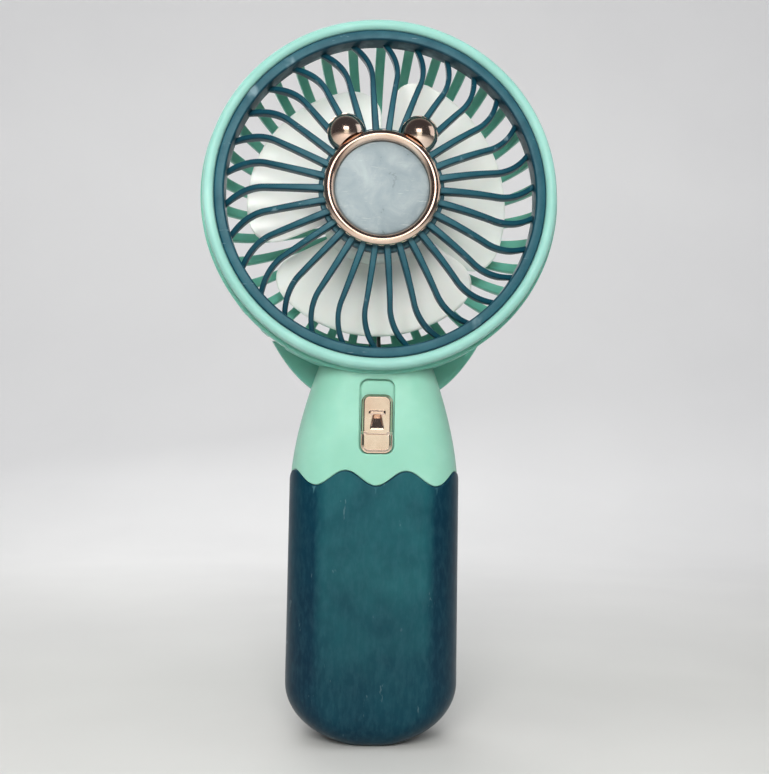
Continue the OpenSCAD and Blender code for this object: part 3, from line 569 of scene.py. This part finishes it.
def make_front_ribs(steps=56):
    ribs = []
    for k in range(RIB_COUNT):
        turn = math.radians(RIB_START + 360 / RIB_COUNT * k)
        path = []
        for i in range(steps + 1):
            r = RIB_R0 + (RIB_R1 - RIB_R0) * i / steps
            path.append(Vector(head_point(r, turn + rib_angle(r), rib_front(r))))
        normals = [Vector((0, -1, 0))] * len(path)
        ribs.append(sweep(f"rib_{k}", path, normals, rib_section, MAT["teal"]))
    return ribs


EAR_ANGLE, EAR_DIST = 32.8, 18.45
EAR_R, EAR_H, EAR_Y = 5.2, 3.6, -21.3


def ear_place(side):
    x, _, z = head_point(EAR_DIST, math.radians(side * EAR_ANGLE - 90), 0)
    return x, z


def make_front_grille():
    """Ring, hub, curled ribs and the pads under the half-balls, in one moulding."""
    back = -13.9
    ring = [(43.0, -17.9)] + arc(43.55, -17.95, 0.55, 180, 270, 4)[1:] + \
        arc(45.35, -17.95, 0.55, 270, 360, 4) + [(45.9, back), (46.9, back), (46.9, -12.9),
                                                 (43.0, -12.9)]
    turned = [sharpen(revolve("ring_part", ring, 224, MAT["teal"]), 40)]
    hub = [(0.0, -21.4), (15.6, -21.4), (16.0, -21.0), (16.0, -19.8), (17.1, -19.8),
           (17.3, -19.6), (17.3, -18.0), (0.0, -18.0)]
    turned.append(sharpen(revolve("hub_part", hub, 128, MAT["teal"]), 40))
    pads = [pad_disc(f"pad_{side}", ear_place(side), 5.1, EAR_Y, 2.2) for side in (-1, 1)]
    grille = join("front_grille_visual", make_front_ribs() + turned + pads)
    return grille, "teal_plastic", ["front_grille"]


def pad_disc(name, place, radius, y, depth, steps=64, material=None):
    """A plain round pad or cutter whose axis runs along Y."""
    disc = prism(name, circle(*place, radius, steps), y, y + depth, material or MAT["teal"])
    return sharpen(disc, 40)


def make_hub_ring():
    """Rose gold ring: a full round crest on straight flanks."""
    front, back = RING_LO.y, RING_HI.y
    r_mid, crest = 14.5, 1.5
    profile = arc(r_mid, front + crest, crest, 0, -180, 28)
    profile += [(r_mid - crest, back), (r_mid + crest, back)]
    ring = revolve("hub_ring_visual", profile, 192, MAT["rose"])
    return sharpen(ring, 50), "rose_gold", ["hub_ring"]


def make_hub_disc():
    """Grey disc, very slightly crowned, with a rolled edge."""
    lo, hi = node_box("hub_disc")
    radius, front, back = hi.x, lo.y, hi.y
    profile = [(0.0, front)]
    profile += [(radius * t, front + 0.18 * t ** 4) for t in (0.2, 0.4, 0.6, 0.75, 0.86, 0.93)]
    profile += arc(radius - 0.35, front + 0.55, 0.35, -80, 0, 4)
    profile += [(radius, back), (0.0, back)]
    disc = revolve("hub_disc_visual", profile, 160, MAT["slate"])
    return sharpen(disc, 55), "slate_plastic", ["hub_disc"]


def make_ear(name, side):
    """One plated half-ball, trimmed where the hub stands."""
    ball = (EAR_R ** 2 + EAR_H ** 2) / (2 * EAR_H)
    cap = math.degrees(math.asin(EAR_R / ball))
    dome = arc(0.0, EAR_Y - EAR_H + ball, ball, -90, cap - 90, 24) + [(0.0, EAR_Y)]
    obj = revolve(name + "_visual", dome, 64, MAT["rose"], ear_place(side))
    cut(obj, plug("ear_cutter", 16.05, -30.0, -10.0, 128))
    return sharpen(obj, 50), "rose_gold", [name]


def plug(name, r, y0, y1, steps=224):
    """A solid cylinder about the head's axis, used as a cutter."""
    return revolve(name, [(0.0, y0), (r, y0), (r, y1), (0.0, y1)], steps)


def cut(obj, cutter, operation="DIFFERENCE"):
    """Applies a boolean at once and removes the cutter."""
    mod = obj.modifiers.new("cut", "BOOLEAN")
    mod.operation = operation
    mod.solver = "EXACT"
    mod.object = cutter
    bake_modifiers(obj)
    bpy.data.objects.remove(cutter)


def bake_modifiers(obj):
    dg = bpy.context.evaluated_depsgraph_get()
    data = bpy.data.meshes.new_from_object(obj.evaluated_get(dg))
    obj.modifiers.clear()
    obj.data = data


# ------------------------------------------------------------------ impeller
PETALS = 3
PETAL_FRONT, PETAL_DEPTH, PETAL_T = -8.0, 14.0, 1.3
PETAL_R0, PETAL_R1 = 15.6, 38.0
PETAL_SPAN, PETAL_FIRST = 116.0, 84.0
PETAL_ROUND, PETAL_POWER, PETAL_KEEP = 27.0, 2.6, 0.65
HUB_R = 16.8


def petal_half(r):
    if r <= PETAL_ROUND:
        return PETAL_SPAN / 2
    t = min(1.0, (r - PETAL_ROUND) / (PETAL_R1 - PETAL_ROUND))
    bend = max(0.0, 1 - t ** PETAL_POWER) ** (1 / PETAL_POWER)
    return PETAL_SPAN / 2 * (bend * (1 - PETAL_KEEP) + PETAL_KEEP)


def petal_depth(a):
    """Depth of the petal's mid surface at angle a: a plain ramp."""
    return PETAL_FRONT + PETAL_T / 2 + PETAL_DEPTH * (a / PETAL_SPAN + 0.5)


def make_petal(k, rows=26, cols=60):
    """One petal as a thin slab with a rounded rim."""
    base = math.radians(-PETAL_FIRST + PETAL_SPAN / 2 + 360 / PETALS * k)
    front, back = [], []
    for j in range(rows + 1):
        r = PETAL_R0 + (PETAL_R1 - PETAL_R0) * math.sin(math.pi / 2 * j / rows)
        half = petal_half(r)
        for i in range(cols + 1):
            s = -math.cos(math.pi * i / cols)
            a = half * s
            edge = max(0.0, min(1.0, (PETAL_R1 - r) / 1.2, half * (1 - abs(s)) * r / 57.3 / 1.2))
            thick = PETAL_T / 2 * math.sqrt(max(0.0, 1 - (1 - edge) ** 2)) + 0.02
            y = petal_depth(a)
            ang = base + math.radians(a)
            front.append(head_point(r, ang, y - thick))
            back.append(head_point(r, ang, y + thick))
    return slab(f"petal_{k}", front, back, cols, rows, MAT["white"])


def make_impeller():
    lo_y, hi_y = IMP_LO.y, IMP_HI.y
    floor, boss_back, inner = PETAL_FRONT + 0.6, -0.6, HUB_R - 1.4
    hub = [(0.0, lo_y), (11.0, lo_y)]
    hub += [(11.0 + 5.8 * math.sin(a), lo_y + 2.8 * (1 - math.cos(a)))
            for a in map(math.radians, range(10, 91, 10))]
    hub += [(HUB_R, hi_y - 0.2), (HUB_R - 0.2, hi_y), (inner, hi_y), (inner, floor),
            (3.2, floor), (3.2, boss_back), (1.0, boss_back), (1.0, floor), (0.0, floor)]
    turned = sharpen(revolve("impeller_hub", hub, 160, MAT["white"]), 35)
    impeller = join("impeller_visual", [make_petal(k) for k in range(PETALS)] + [turned])
    return impeller, "white_plastic", ["impeller"]


# ------------------------------------------------------------------ rear cage
CAGE_R, CAGE_FLAT, CAGE_MID, CAGE_BACK, CAGE_WALL = 50.0, 26.0, -5.0, 19.0, 2.2
CAGE_RIBS = 36


def cage_point(t, inset=0.0):
    """Radius and depth along the cage's outside: t 0 at the flange, 1 at the hub."""
    straight, bend = CAGE_MID + 9.5, 0.62
    r_out, y_back = CAGE_R - inset, CAGE_BACK - inset
    if t < 0.1:
        return r_out, -9.5 + straight * t / 0.1
    if t < 0.1 + bend:
        a = math.radians(90 * (t - 0.1) / bend)
        return (CAGE_FLAT + (r_out - CAGE_FLAT) * math.cos(a),
                CAGE_MID + (y_back - CAGE_MID) * math.sin(a))
    u = (t - 0.1 - bend) / (1 - 0.1 - bend)
    return CAGE_FLAT + (14.8 - CAGE_FLAT) * u, y_back


def cage_rib_section(t):
    width = 1.9 + (3.0 - 1.9) * (cage_point(t)[0] - 14.5) / (51 - 14.5)
    return rounded_outline(width / 2, -CAGE_WALL, 0, 0.5, 3)


def make_cage_ribs(steps=44):
    ribs = []
    for k in range(CAGE_RIBS):
        turn = 2 * math.pi * k / CAGE_RIBS
        path, normals = [], []
        for i in range(steps + 1):
            place, below = (Vector(head_point(*radius_angle(cage_point(i / steps, inset), turn)))
                            for inset in (0.0, 1.0))
            path.append(place)
            normals.append((place - below).normalized())
        ribs.append(sweep(f"cage_rib_{k}", path, normals, cage_rib_section, MAT["mint_painted_shade"]))
    return ribs


def cage_skirt(half_angle=29.0, r_min=40.0):
    """The solid wall of the cage beside the neck."""
    t_end = next(i / 400 for i in range(401) if cage_point(i / 400)[0] < r_min)
    rows, cols = 18, 48
    outer, inner = [], []
    for j in range(rows + 1):
        t = t_end * j / rows
        for i in range(cols + 1):
            a = math.radians(90 - half_angle + 2 * half_angle * i / cols)
            outer.append(head_point(*radius_angle(cage_point(t), a)))
            inner.append(head_point(*radius_angle(cage_point(t, CAGE_WALL), a)))
    return sharpen(slab("cage_skirt", outer, inner, cols, rows, MAT["mint_painted_shade"]), 40)


def radius_angle(point, angle):
    return point[0], angle, point[1]


def box_part(name, lo, hi, material, bevel_width=0.0):
    """A closed block between two corners, its edges rounded when bevel_width is given."""
    (x0, y0, z0), (x1, y1, z1) = lo, hi
    obj = prism(name, [(x0, z0), (x1, z0), (x1, z1), (x0, z1)], y0, y1, material)
    if bevel_width:
        mod = obj.modifiers.new("bevel", "BEVEL")
        mod.width = mm(bevel_width)
        mod.segments = 3
        mod.limit_method = "ANGLE"
        bake_modifiers(obj)
    return obj


def make_rear_cage():
    flange = [(47.1, -14.0), (47.7, -14.0), (47.7, -12.3), (48.7, -12.3), (48.7, -14.0),
              (49.6, -14.0), (50.0, -13.6), (50.0, -9.2), (49.8, -9.0), (47.4, -9.0),
              (47.1, -9.3), (47.1, -10.8), (45.4, -10.8), (45.4, -12.8), (47.1, -12.8)]
    turned = [sharpen(revolve("cage_flange", flange, 224, MAT["mint_painted_shade"]), 40)]
    hub = [(0.0, 19.0), (14.6, 19.0), (15.5, 18.6), (15.5, 17.4), (13.3, 17.4), (13.3, 1.2),
           (12.15, 1.2), (12.15, 17.4), (0.0, 17.4)]
    turned.append(sharpen(revolve("cage_hub", hub, 128, MAT["mint_painted_shade"]), 40))
    bosses = []
    for a in (30, 150, 270):
        x, y, z = head_point(13.5, math.radians(a), 1.2)
        bosses.append(pad_disc(f"cage_boss_{a}", (x, z), 1.6, y, 16.2, 40, MAT["mint_painted_shade"]))
    channel = box_part("cage_channel", (-3.4, 16.9, HEAD_Z - 27), (3.4, 18.9, HEAD_Z - 14),
                       MAT["mint_painted_shade"], 0.4)
    tongue = box_part("cage_tongue", (-11.5, -8, 96.2), (11.5, 8.2, 102.2), MAT["mint_painted_shade"], 0.3)
    cage = join("rear_cage_visual",
                make_cage_ribs() + turned + [cage_skirt(), channel, tongue] + bosses)
    return cage, "mint_plastic", ["rear_grille"]


# ------------------------------------------------------------------ handle and neck
HALF_W, HALF_D = SLEEVE_HI.x, SLEEVE_HI.y
SCALLOPS, SCALLOP_AMP, SLEEVE_TOP = 8, 2.05, 72.8
END_H, END_TRIM, BASE_HALF_D, BASE_ROUND_D = 16.0, 1.0, 8.5, 9.0
CORNER = 0.78
NECK_START = 72.0
WALL = 1.6


def ellipse(t):
    return math.sqrt(max(0.0, 1 - (1 - t) ** 2))


def form_w(z):
    if z < END_H:
        return HALF_W * ellipse((z + END_TRIM) / (END_H + END_TRIM))
    return HALF_W - 0.0296 * max(0.0, z - NECK_START) ** 1.585


def form_d(z):
    if z < BASE_ROUND_D:
        return BASE_HALF_D + (HALF_D - BASE_HALF_D) * ellipse(max(0.0, z) / BASE_ROUND_D)
    return HALF_D - 0.0015 * max(0.0, z - NECK_START) ** 2


def quarter(s, w, d, r):
    flat, bend = w - r, math.pi / 2 * r
    if s <= flat:
        return s, -d
    if s <= flat + bend:
        a = (s - flat) / r
        return flat + r * math.sin(a), r - d - r * math.cos(a)
    return w, r - d + (s - flat - bend)


def outline(u, w, d, r):
    """The section of the handle at share u of its length, from the middle of the front."""
    q = w + d - 2 * r + math.pi / 2 * r
    s = (u % 1.0) * 4 * q
    if s <= q:
        return quarter(s, w, d, r)
    if s <= 2 * q:
        x, y = quarter(2 * q - s, w, d, r)
        return x, -y
    if s <= 3 * q:
        x, y = quarter(s - 2 * q, w, d, r)
        return -x, -y
    x, y = quarter(4 * q - s, w, d, r)
    return -x, y


def wave(u):
    return SLEEVE_TOP - SCALLOP_AMP * math.cos(2 * math.pi * SCALLOPS * u)


def form_point(u, z, inset):
    w, d = form_w(z), form_d(z)
    x, y = outline(u, w - inset, d - inset, max(1.0, CORNER * min(w, d) - inset))
    return x, y, z


def lofted(name, rows, columns, material=None):
    """A closed solid through rows, each a function that gives the point at share u."""
    return stack(name, [[row(u) for u in columns] for row in rows], material)


def level(z, inset, lift=0.0):
    def row(u):
        x, y, _ = form_point(u, z, inset)
        return x, y, z + lift
    return row


def wave_row(inset, rise=0.0, share=1.0, z=0.0):
    """The scalloped line at share 1, blending into a level at z as share goes to 0."""
    return lambda u: form_point(u, z + (wave(u) + rise - z) * share, inset)


END_LEVELS = [0.0] + [(END_H + END_TRIM) * (1 - math.cos(math.radians(a))) - END_TRIM
                      for a in range(24, 91, 3)]
FOOT_LEVELS = (0.0, 0.8, 2.0, 4.0, 8.0, 12.0, 16.0)
COLUMNS = [i / 384 for i in range(384)]


def make_sleeve():
    """The scalloped sleeve, with a rolled rim and a flat base."""
    rows = [level(z, 0.0) for z in END_LEVELS]
    rows += [level(z, 0.0) for z in (24, 34, 44, 54, 62)]
    rows += [wave_row(0.0, 0.0, s, 62) for s in (0.4, 0.7, 0.88, 0.96)]
    rim = 0.35
    for a in range(0, 91, 15):
        c, s = math.cos(math.radians(a)), math.sin(math.radians(a))
        rows.append(wave_row(rim * (1 - c), -rim * (1 - s)))
    rows += [wave_row(WALL, 0.0), wave_row(WALL, -2.0), level(62, WALL), level(30, WALL)]
    rows += [level(z, WALL, WALL) for z in reversed(FOOT_LEVELS)]
    sleeve = lofted("handle_sleeve_visual", rows, COLUMNS, MAT["teal_sleeve"])
    return sharpen(sleeve, 48), "teal_plastic", ["handle_sleeve"]


PROUD = 0.35
RECESS_W, RECESS_Z0, RECESS_Z1, RECESS_R = 9.6, 79.5, 100.1, 2.3
FLOOR_Y = -13.1
NECK_TOP = 104.2
SCREW_X, SCREW_Z = 8.8, 99.6


def make_shells():
    """Both case halves: full-section lofts cut at the middle plane, so their walls are closed."""
    made = []
    case, case_lift, room, room_lift = 1.65, 1.8, 3.25, 3.4
    shoulder, top = 76.5, NECK_TOP + 0.3
    for name, front in (("front_shell", True), ("rear_shell", False)):
        rows = [level(z, case, case_lift) for z in FOOT_LEVELS]
        rows += [level(z, case) for z in (30.0, 50.0, 66.0)]
        rows += [wave_row(case, 0.06), wave_row(PROUD + 0.25, 0.06), wave_row(PROUD, 0.30)]
        rows += [wave_row(PROUD, 0.30, 1 - s, shoulder) for s in (0.25, 0.5, 0.75)]
        rows += [level(shoulder + (top - shoulder) * i / 40, PROUD) for i in range(41)]
        solid = lofted(name + "_visual", rows, COLUMNS, MAT["mint"])
        cavity_rows = [level(z, room, room_lift) for z in FOOT_LEVELS]
        cavity_rows += [level(z, room) for z in (30.0, 50.0, 66.0, 76.0, 82.0, 88.0, 94.0, 100.0)]
        cavity_rows += [level(NECK_TOP + 3, room)]
        cut(solid, lofted(name + "_cavity", cavity_rows, [i / 96 for i in range(96)]))
        y0, y1 = (-0.02, 80.0) if front else (-80.0, 0.02)
        cut(solid, box_part("half_cutter", (-80, y0, -20), (80, y1, 140), None))
        made.append(solid)
    return made


def neck_front(z):
    return PROUD - form_d(z)


def recess_cutter():
    """The switch's recess: a rolled lip that follows the neck's face, a groove and a floor."""
    lip, groove, sunk = 0.30, 0.50, 0.85
    curve = [(lip * (1 - math.sin(a)), lip * (1 - math.cos(a)))
             for a in map(math.radians, range(0, 91, 18))]

    def loop(grow, depth):
        return [(x, depth(z), z) for x, z in
                rounded_outline(RECESS_W / 2 + grow, RECESS_Z0 - grow, RECESS_Z1 + grow,
                                RECESS_R + grow, 14)]

    loops = [loop(lip, lambda z: -20.0)]
    loops += [loop(grow, lambda z, sink=sink: min(neck_front(z) - 0.01 + sink, FLOOR_Y - 0.03))
              for grow, sink in curve]
    loops += [loop(-inset, lambda z, deep=deep: FLOOR_Y + deep)
              for inset, deep in ((0.0, sunk), (groove, sunk), (groove, 0.0))]
    return stack("recess_cutter", loops, smooth=False)


def finish_front_shell(shell):
    """The switch's recess with its own walls, the slot, and the side openings."""
    around = rounded_outline(RECESS_W / 2 + 1.5, RECESS_Z0 - 1.5, RECESS_Z1 + 1.5, 3.0, 10)
    cut(shell, prism("recess_block", around, -13.6, FLOOR_Y + 1.1, MAT["mint"]), "UNION")
    cut(shell, plug("cage_cutter", 50.1, -11.3, 40.0))
    cut(shell, recess_cutter())
    cut(shell, prism("slot_cutter", rounded_outline(1.8, 84.6, 93.4, 0.5, 6), -20, 0))
    cut(shell, side_prism("socket_cutter", socket_outline(0.35), 15, 30))
    cut(shell, side_prism("led_cutter", circle(SOCKET_Y, LED_Z, 0.85, 32), 15, 30))
    return sharpen(shell, 38)


SOCKET_Y, SOCKET_Z, SOCKET_W, SOCKET_T, LED_Z = -2.1, 85.5, 8.94, 3.2, 93.2


def socket_outline(margin, steps=16):
    """The socket's opening in (y, z), grown by margin."""
    r, reach = SOCKET_T / 2 + margin, (SOCKET_W - SOCKET_T) / 2
    return arc(SOCKET_Y, SOCKET_Z + reach, r, 0, 180, steps) + \
        arc(SOCKET_Y, SOCKET_Z - reach, r, 180, 360, steps)


def flare_outline():
    start, pull, end = (18.0, 97.8), (24.8, 102.2), (30.4, 112.0)
    return [tuple((1 - t) ** 2 * a + 2 * t * (1 - t) * b + t * t * c
                  for a, b, c in zip(start, pull, end)) for t in (i / 24 for i in range(25))]


def cage_room():
    """The space the cage takes, a little larger than its round outside."""
    side = CAGE_R + 0.3
    reach = side - CAGE_FLAT
    room = [(0.0, -40.0), (side, -40.0)] + arc(CAGE_FLAT, CAGE_MID, reach, 0, 90, 24)
    return revolve("cage_room", room + [(0.0, CAGE_MID + reach)], 224)


def make_flare(side, y0=2.0, y1=12.5):
    """One side of the flare behind the neck, well rounded towards the back."""
    edge = flare_outline()
    inner, middle, span, front_r, back_r = 15.0, 100.0, 15.0, 1.2, 6.5
    around = [(inner, edge[0][1])] + edge + [(inner, edge[-1][1])]
    turns = [math.radians(a) for a in range(0, 91, 15)]
    layers = [(y0 + front_r * (1 - math.cos(a)), 1 - front_r * (1 - math.sin(a)) / span)
              for a in turns]
    layers += [(y1 - back_r * (1 - math.sin(a)), 1 - back_r * (1 - math.cos(a)) / span)
               for a in turns]

    def layer(y, keep):
        return lambda k: (side * (inner + (around[k][0] - inner) * keep), y,
                          middle + (around[k][1] - middle) * keep)

    return lofted(f"flare_{side}", [layer(*each) for each in layers], range(len(around)),
                  MAT["mint_painted_shade"])


def finish_rear_shell(shell):
    """The flare, the hollow that the cage sits in, and the two screw recesses."""
    for side in (-1, 1):
        cut(shell, make_flare(side), "UNION")
    cut(shell, cage_room())
    # painted shade: the rear shell takes the darker copy of the mint plastic
    shell.data.materials[0] = MAT["mint_painted_shade"]
    for x in (-SCREW_X, SCREW_X):
        cut(shell, pad_disc("screw_cutter", (x, SCREW_Z), 2.1, 11.6, 10, 48))
        cut(shell, pad_disc("shank_cutter", (x, SCREW_Z), 1.1, 0, 14, 32))
    return sharpen(shell, 38)


BUTTON_R = 2.2


def make_button():
    """The slide: a plated bar with two flats, a raised bridge and a finger dip."""
    z0, z1 = BUTTON_LO.z, BUTTON_HI.z
    half = BUTTON_HI.x
    front = BUTTON_LO.y
    back = FLOOR_Y - 0.3
    cols, rows = 72, 132
    verts = []
    for j in range(rows + 1):
        for i in range(cols + 1):
            u, v = -1 + 2 * i / cols, -1 + 2 * j / rows
            x, z = half * u, (z0 + z1) / 2 + (z1 - z0) / 2 * v
            x, z = round_corner(x, z, half, z0, z1, BUTTON_R)
            verts.append((x, button_face(x, z, front, back, half, z0, z1), z))
    rim, size = grid_rim(cols, rows), len(verts)
    verts += [(verts[k][0], back, verts[k][2]) for k in rim]
    m = len(rim)
    faces = grid_faces(cols, rows) + [tuple(size + k for k in range(m))]
    faces += [(rim[(k + 1) % m], rim[k], size + k, size + (k + 1) % m) for k in range(m)]
    plate = sharpen(mesh_object("button_plate", verts, faces, material=MAT["rose"]), 55)
    stem = box_part("button_stem", (-1.5, back - 0.2, 85.6), (1.5, -10.9, 89.0), MAT["rose"], 0.2)
    obj = join("slide_button_visual", [plate, stem])
    return obj, "rose_gold", ["slide_button"]


def round_corner(x, z, half, z0, z1, r):
    """Pulls a point of a square grid in so that its border has round corners."""
    cz, hz = (z0 + z1) / 2, (z1 - z0) / 2
    px, pz = abs(x), abs(z - cz)
    ex, ez = px - (half - r), pz - (hz - r)
    if ex > 0 and ez > 0:
        pull = max(ex, ez) / math.hypot(ex, ez)
        px, pz = half - r + ex * pull, hz - r + ez * pull
    return math.copysign(px, x), cz + math.copysign(pz, z - cz)


def smooth(t):
    t = min(1.0, max(0.0, t))
    return t * t * (3 - 2 * t)


def button_face(x, z, front, back, half, z0, z1):
    """Depth of the slide's face: a crowned plate, stepped near its foot, with a finger dimple."""
    cz, hz = (z0 + z1) / 2, (z1 - z0) / 2
    edge = min(half - abs(x), hz - abs(z - cz))
    ex, ez = abs(x) - half + BUTTON_R, abs(z - cz) - hz + BUTTON_R
    if ex > 0 and ez > 0:
        edge = BUTTON_R - math.hypot(ex, ez)
    v = (z - cz) / hz
    y = front + 0.22 + 0.75 * (1 - smooth(edge / 0.8)) + 0.10 * (x / half) ** 2
    bar = smooth(1.6 - abs(v - 0.37) / 0.05) * smooth((2.3 - abs(x)) / 0.5)
    y -= 0.20 * bar
    width = 1.15 + 1.7 * (0.31 - v)
    dip = smooth((width - abs(x)) / 0.45) * smooth((0.31 - v) / 0.04) * smooth((v + 0.22) / 0.06)
    y += dip * (0.10 + 1.3 * min(1.0, max(0.0, (v + 0.16) / 0.45)))
    y += 0.34 * smooth((-0.35 - v) / 0.03) * smooth(edge / 0.5)
    notch = smooth(1 - abs(v + 0.34) / 0.05) * smooth((abs(x) - half + 1.6) / 0.5)
    y += 0.35 * notch
    return min(max(y, front), back - 0.3)


def make_neck_screws(head_y, length):
    """Pan heads with a cross recess, facing the back of the fan."""
    profile = [(0.0, 0.0), (0.9, -0.02), (1.5, -0.18), (1.82, -0.5), (1.9, -0.8), (1.9, -1.2),
               (0.78, -1.2), (0.78, -1.2 - length + 0.8), (0.0, -1.2 - length)]
    profile = [(r, head_y + y) for r, y in profile]
    parts = []
    for k, x in enumerate((-SCREW_X, SCREW_X)):
        screw = revolve(f"neck_screw_{k}", profile, 40, MAT["screw"], (x, SCREW_Z))
        for turn in (0, 90):
            arm = box_part("cross", (-1.1, -0.55, -0.17), (1.1, 0.4, 0.17), None)
            arm.data.transform(Matrix.Translation(mm(x, head_y, SCREW_Z)) @
                               Matrix.Rotation(math.radians(turn + 20 + 37 * k), 4, "Y"))
            cut(screw, arm)
        parts.append(sharpen(screw, 35))
    return join("neck_screws_visual", parts), "screw_steel", ["neck_screws"]


# ------------------------------------------------------------------ assembly
def attach(made, body):
    obj, slot_name, nodes = made
    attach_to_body(obj, body)
    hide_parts(*nodes)


def paint_cad():
    """The CAD nodes that stay: each gets its material."""
    finish = {"motor_shaft": "steel", "armature_core": "iron", "armature_windings": "copper",
              "commutator": "copper", "motor_can": "steel", "motor_magnets": "iron",
              "front_bush": "brass", "rear_bush": "brass", "motor_brushes": "brass",
              "motor_end_cap": "black", "motor_clamp_ring": "black", "motor_screws": "screw",
              "motor_wires": "black", "shell_screws": "screw", "switch_slider": "black",
              "switch_housing": "steel", "circuit_board": "board", "board_screws": "screw",
              "control_chips": "black", "charge_socket": "steel", "charge_led": "clear",
              "led_light_pipe": "clear", "battery_cell": "cell", "battery_wires": "wire_red",
              "battery_foam": "foam"}
    for node, key in finish.items():
        obj = frame["nodes"][node]
        obj.data.materials.clear()
        obj.data.materials.append(MAT[key])


def floor_material():
    """Pale board; the far sweep glows a little, so it reads as one plain backdrop."""
    mat = Nodes("pale_floor")
    cloud = mat.ramp(mat.noise(9, 3), [(0.3, (0.57, 0.57, 0.555)), (0.7, (0.61, 0.61, 0.592))])
    far = mat.remap(mat.axis("Y"), mm(60), mm(620), 0.0, 1.0)
    glow = mat.mix(far, (0.0, 0.0, 0.0), (0.40, 0.40, 0.413))
    mat.set(Base_Color=cloud, Roughness=0.85, Emission_Color=glow, Emission_Strength=1.0)
    mat.bump((mat.noise(700, 2), 0.1, 0.05))
    return mat.material


def make_stage():
    """A floor that rises into a far wall in one sweep."""
    half, start, rise, steps = 2500, 420, 400, 32
    profile = [(-1800.0, 0.0), (start, 0.0)]
    profile += [(start + rise * math.sin(math.radians(90 * i / steps)),
                 rise * (1 - math.cos(math.radians(90 * i / steps)))) for i in range(1, steps + 1)]
    profile += [(start + rise, 2500.0)]
    verts = [(x, y, z) for x in (-half, half) for y, z in profile]
    n = len(profile)
    faces = [(i, i + 1, n + i + 1, n + i) for i in range(n - 1)]
    floor = mesh_object("floor", verts, faces, material=floor_material())


def area_light(name, place, target, size, power, colour):
    data = bpy.data.lights.new(name, "AREA")
    data.shape = "RECTANGLE"
    data.size, data.size_y = size
    data.energy = power
    data.color = colour
    obj = new_object(name, data)
    obj.location = mm(*place)
    aim = (mm(*target) - obj.location).normalized()
    obj.rotation_mode = "QUATERNION"
    obj.rotation_quaternion = aim.to_track_quat("-Z", "Y")
    return obj


def make_lights():
    key = area_light("key", (-60, -520, 330), (0, 0, 120), (0.30, 0.24), 3.2, (1.0, 0.99, 0.97))
    top = area_light("top", (-40, -210, 640), (0, -10, 120), (0.50, 0.42), 1.5, (0.98, 0.99, 1.0))
    key.visible_glossy = top.visible_glossy = False
    area_light("card", (10, -560, 120), (0, 0, 110), (0.24, 0.20), 0.14, (0.93, 1.0, 0.88))
    area_light("halo", (-20, -560, 310), (0, 0, 150), (0.26, 0.16), 0.40, (1.0, 0.98, 0.92))
    area_light("side", (520, -120, 360), (0, 0, 110), (0.30, 0.40), 0.3, (1, 1, 1))
    area_light("rear", (-120, 460, 420), (0, 20, 130), (0.50, 0.40), 1.3, (1, 1, 1))
    world = bpy.data.worlds.new("studio")
    bpy.context.scene.world = world
    sky = Nodes("studio", world, "Background", "Generated")
    fade = sky.remap(sky.axis("Y"), -0.12, 0.70, 0.0, 1.0)
    sky.set(Color=sky.ramp(fade, [(0.0, (0.055, 0.055, 0.06)), (1.0, (0.60, 0.60, 0.62))]),
            Strength=1.0)


def make_camera():
    """Close in front, level with the neck, tipped up a little, with a slight roll."""
    data = bpy.data.cameras.new("camera")
    obj = new_object("camera", data)
    data.sensor_fit = "VERTICAL"
    data.sensor_height = 36.0
    data.lens = 943.0 / 774.0 * data.sensor_height
    data.clip_start, data.clip_end = 0.01, 20.0
    pitch, yaw, roll = math.radians(4.11), math.radians(2.95), math.radians(0.93)
    ahead = Vector((math.sin(yaw) * math.cos(pitch), math.cos(yaw) * math.cos(pitch),
                    math.sin(pitch)))
    right = Vector((math.cos(yaw), -math.sin(yaw), 0))
    up = right.cross(ahead)
    cam_right = right * math.cos(roll) + up * math.sin(roll)
    cam_up = up * math.cos(roll) - right * math.sin(roll)
    basis = Matrix((cam_right, cam_up, -ahead)).transposed().to_4x4()
    obj.matrix_world = Matrix.Translation(mm(-11.4, -273.0, 79.3)) @ basis
    bpy.context.scene.camera = obj


def colour_management():
    view = bpy.context.scene.view_settings
    view.view_transform = "Standard"
    view.look = "None"
    view.exposure = 0.0


def build():
    for made in (make_bezel(), make_front_grille(), make_hub_ring(), make_hub_disc(),
                 make_ear("left_ear", -1), make_ear("right_ear", 1), make_rear_cage(),
                 make_sleeve()):
        attach(made, BODY)
    attach(make_impeller(), SPIN)
    attach(make_button(), KNOB)
    front, rear = make_shells()
    attach((finish_front_shell(front), "mint_plastic", ["front_shell"]), BODY)
    attach((finish_rear_shell(rear), "mint_plastic", ["rear_shell"]), BODY)
    attach(make_neck_screws(head_y=12.85, length=22), BODY)
    paint_cad()


build()
make_stage()
make_lights()
make_camera()
colour_management()
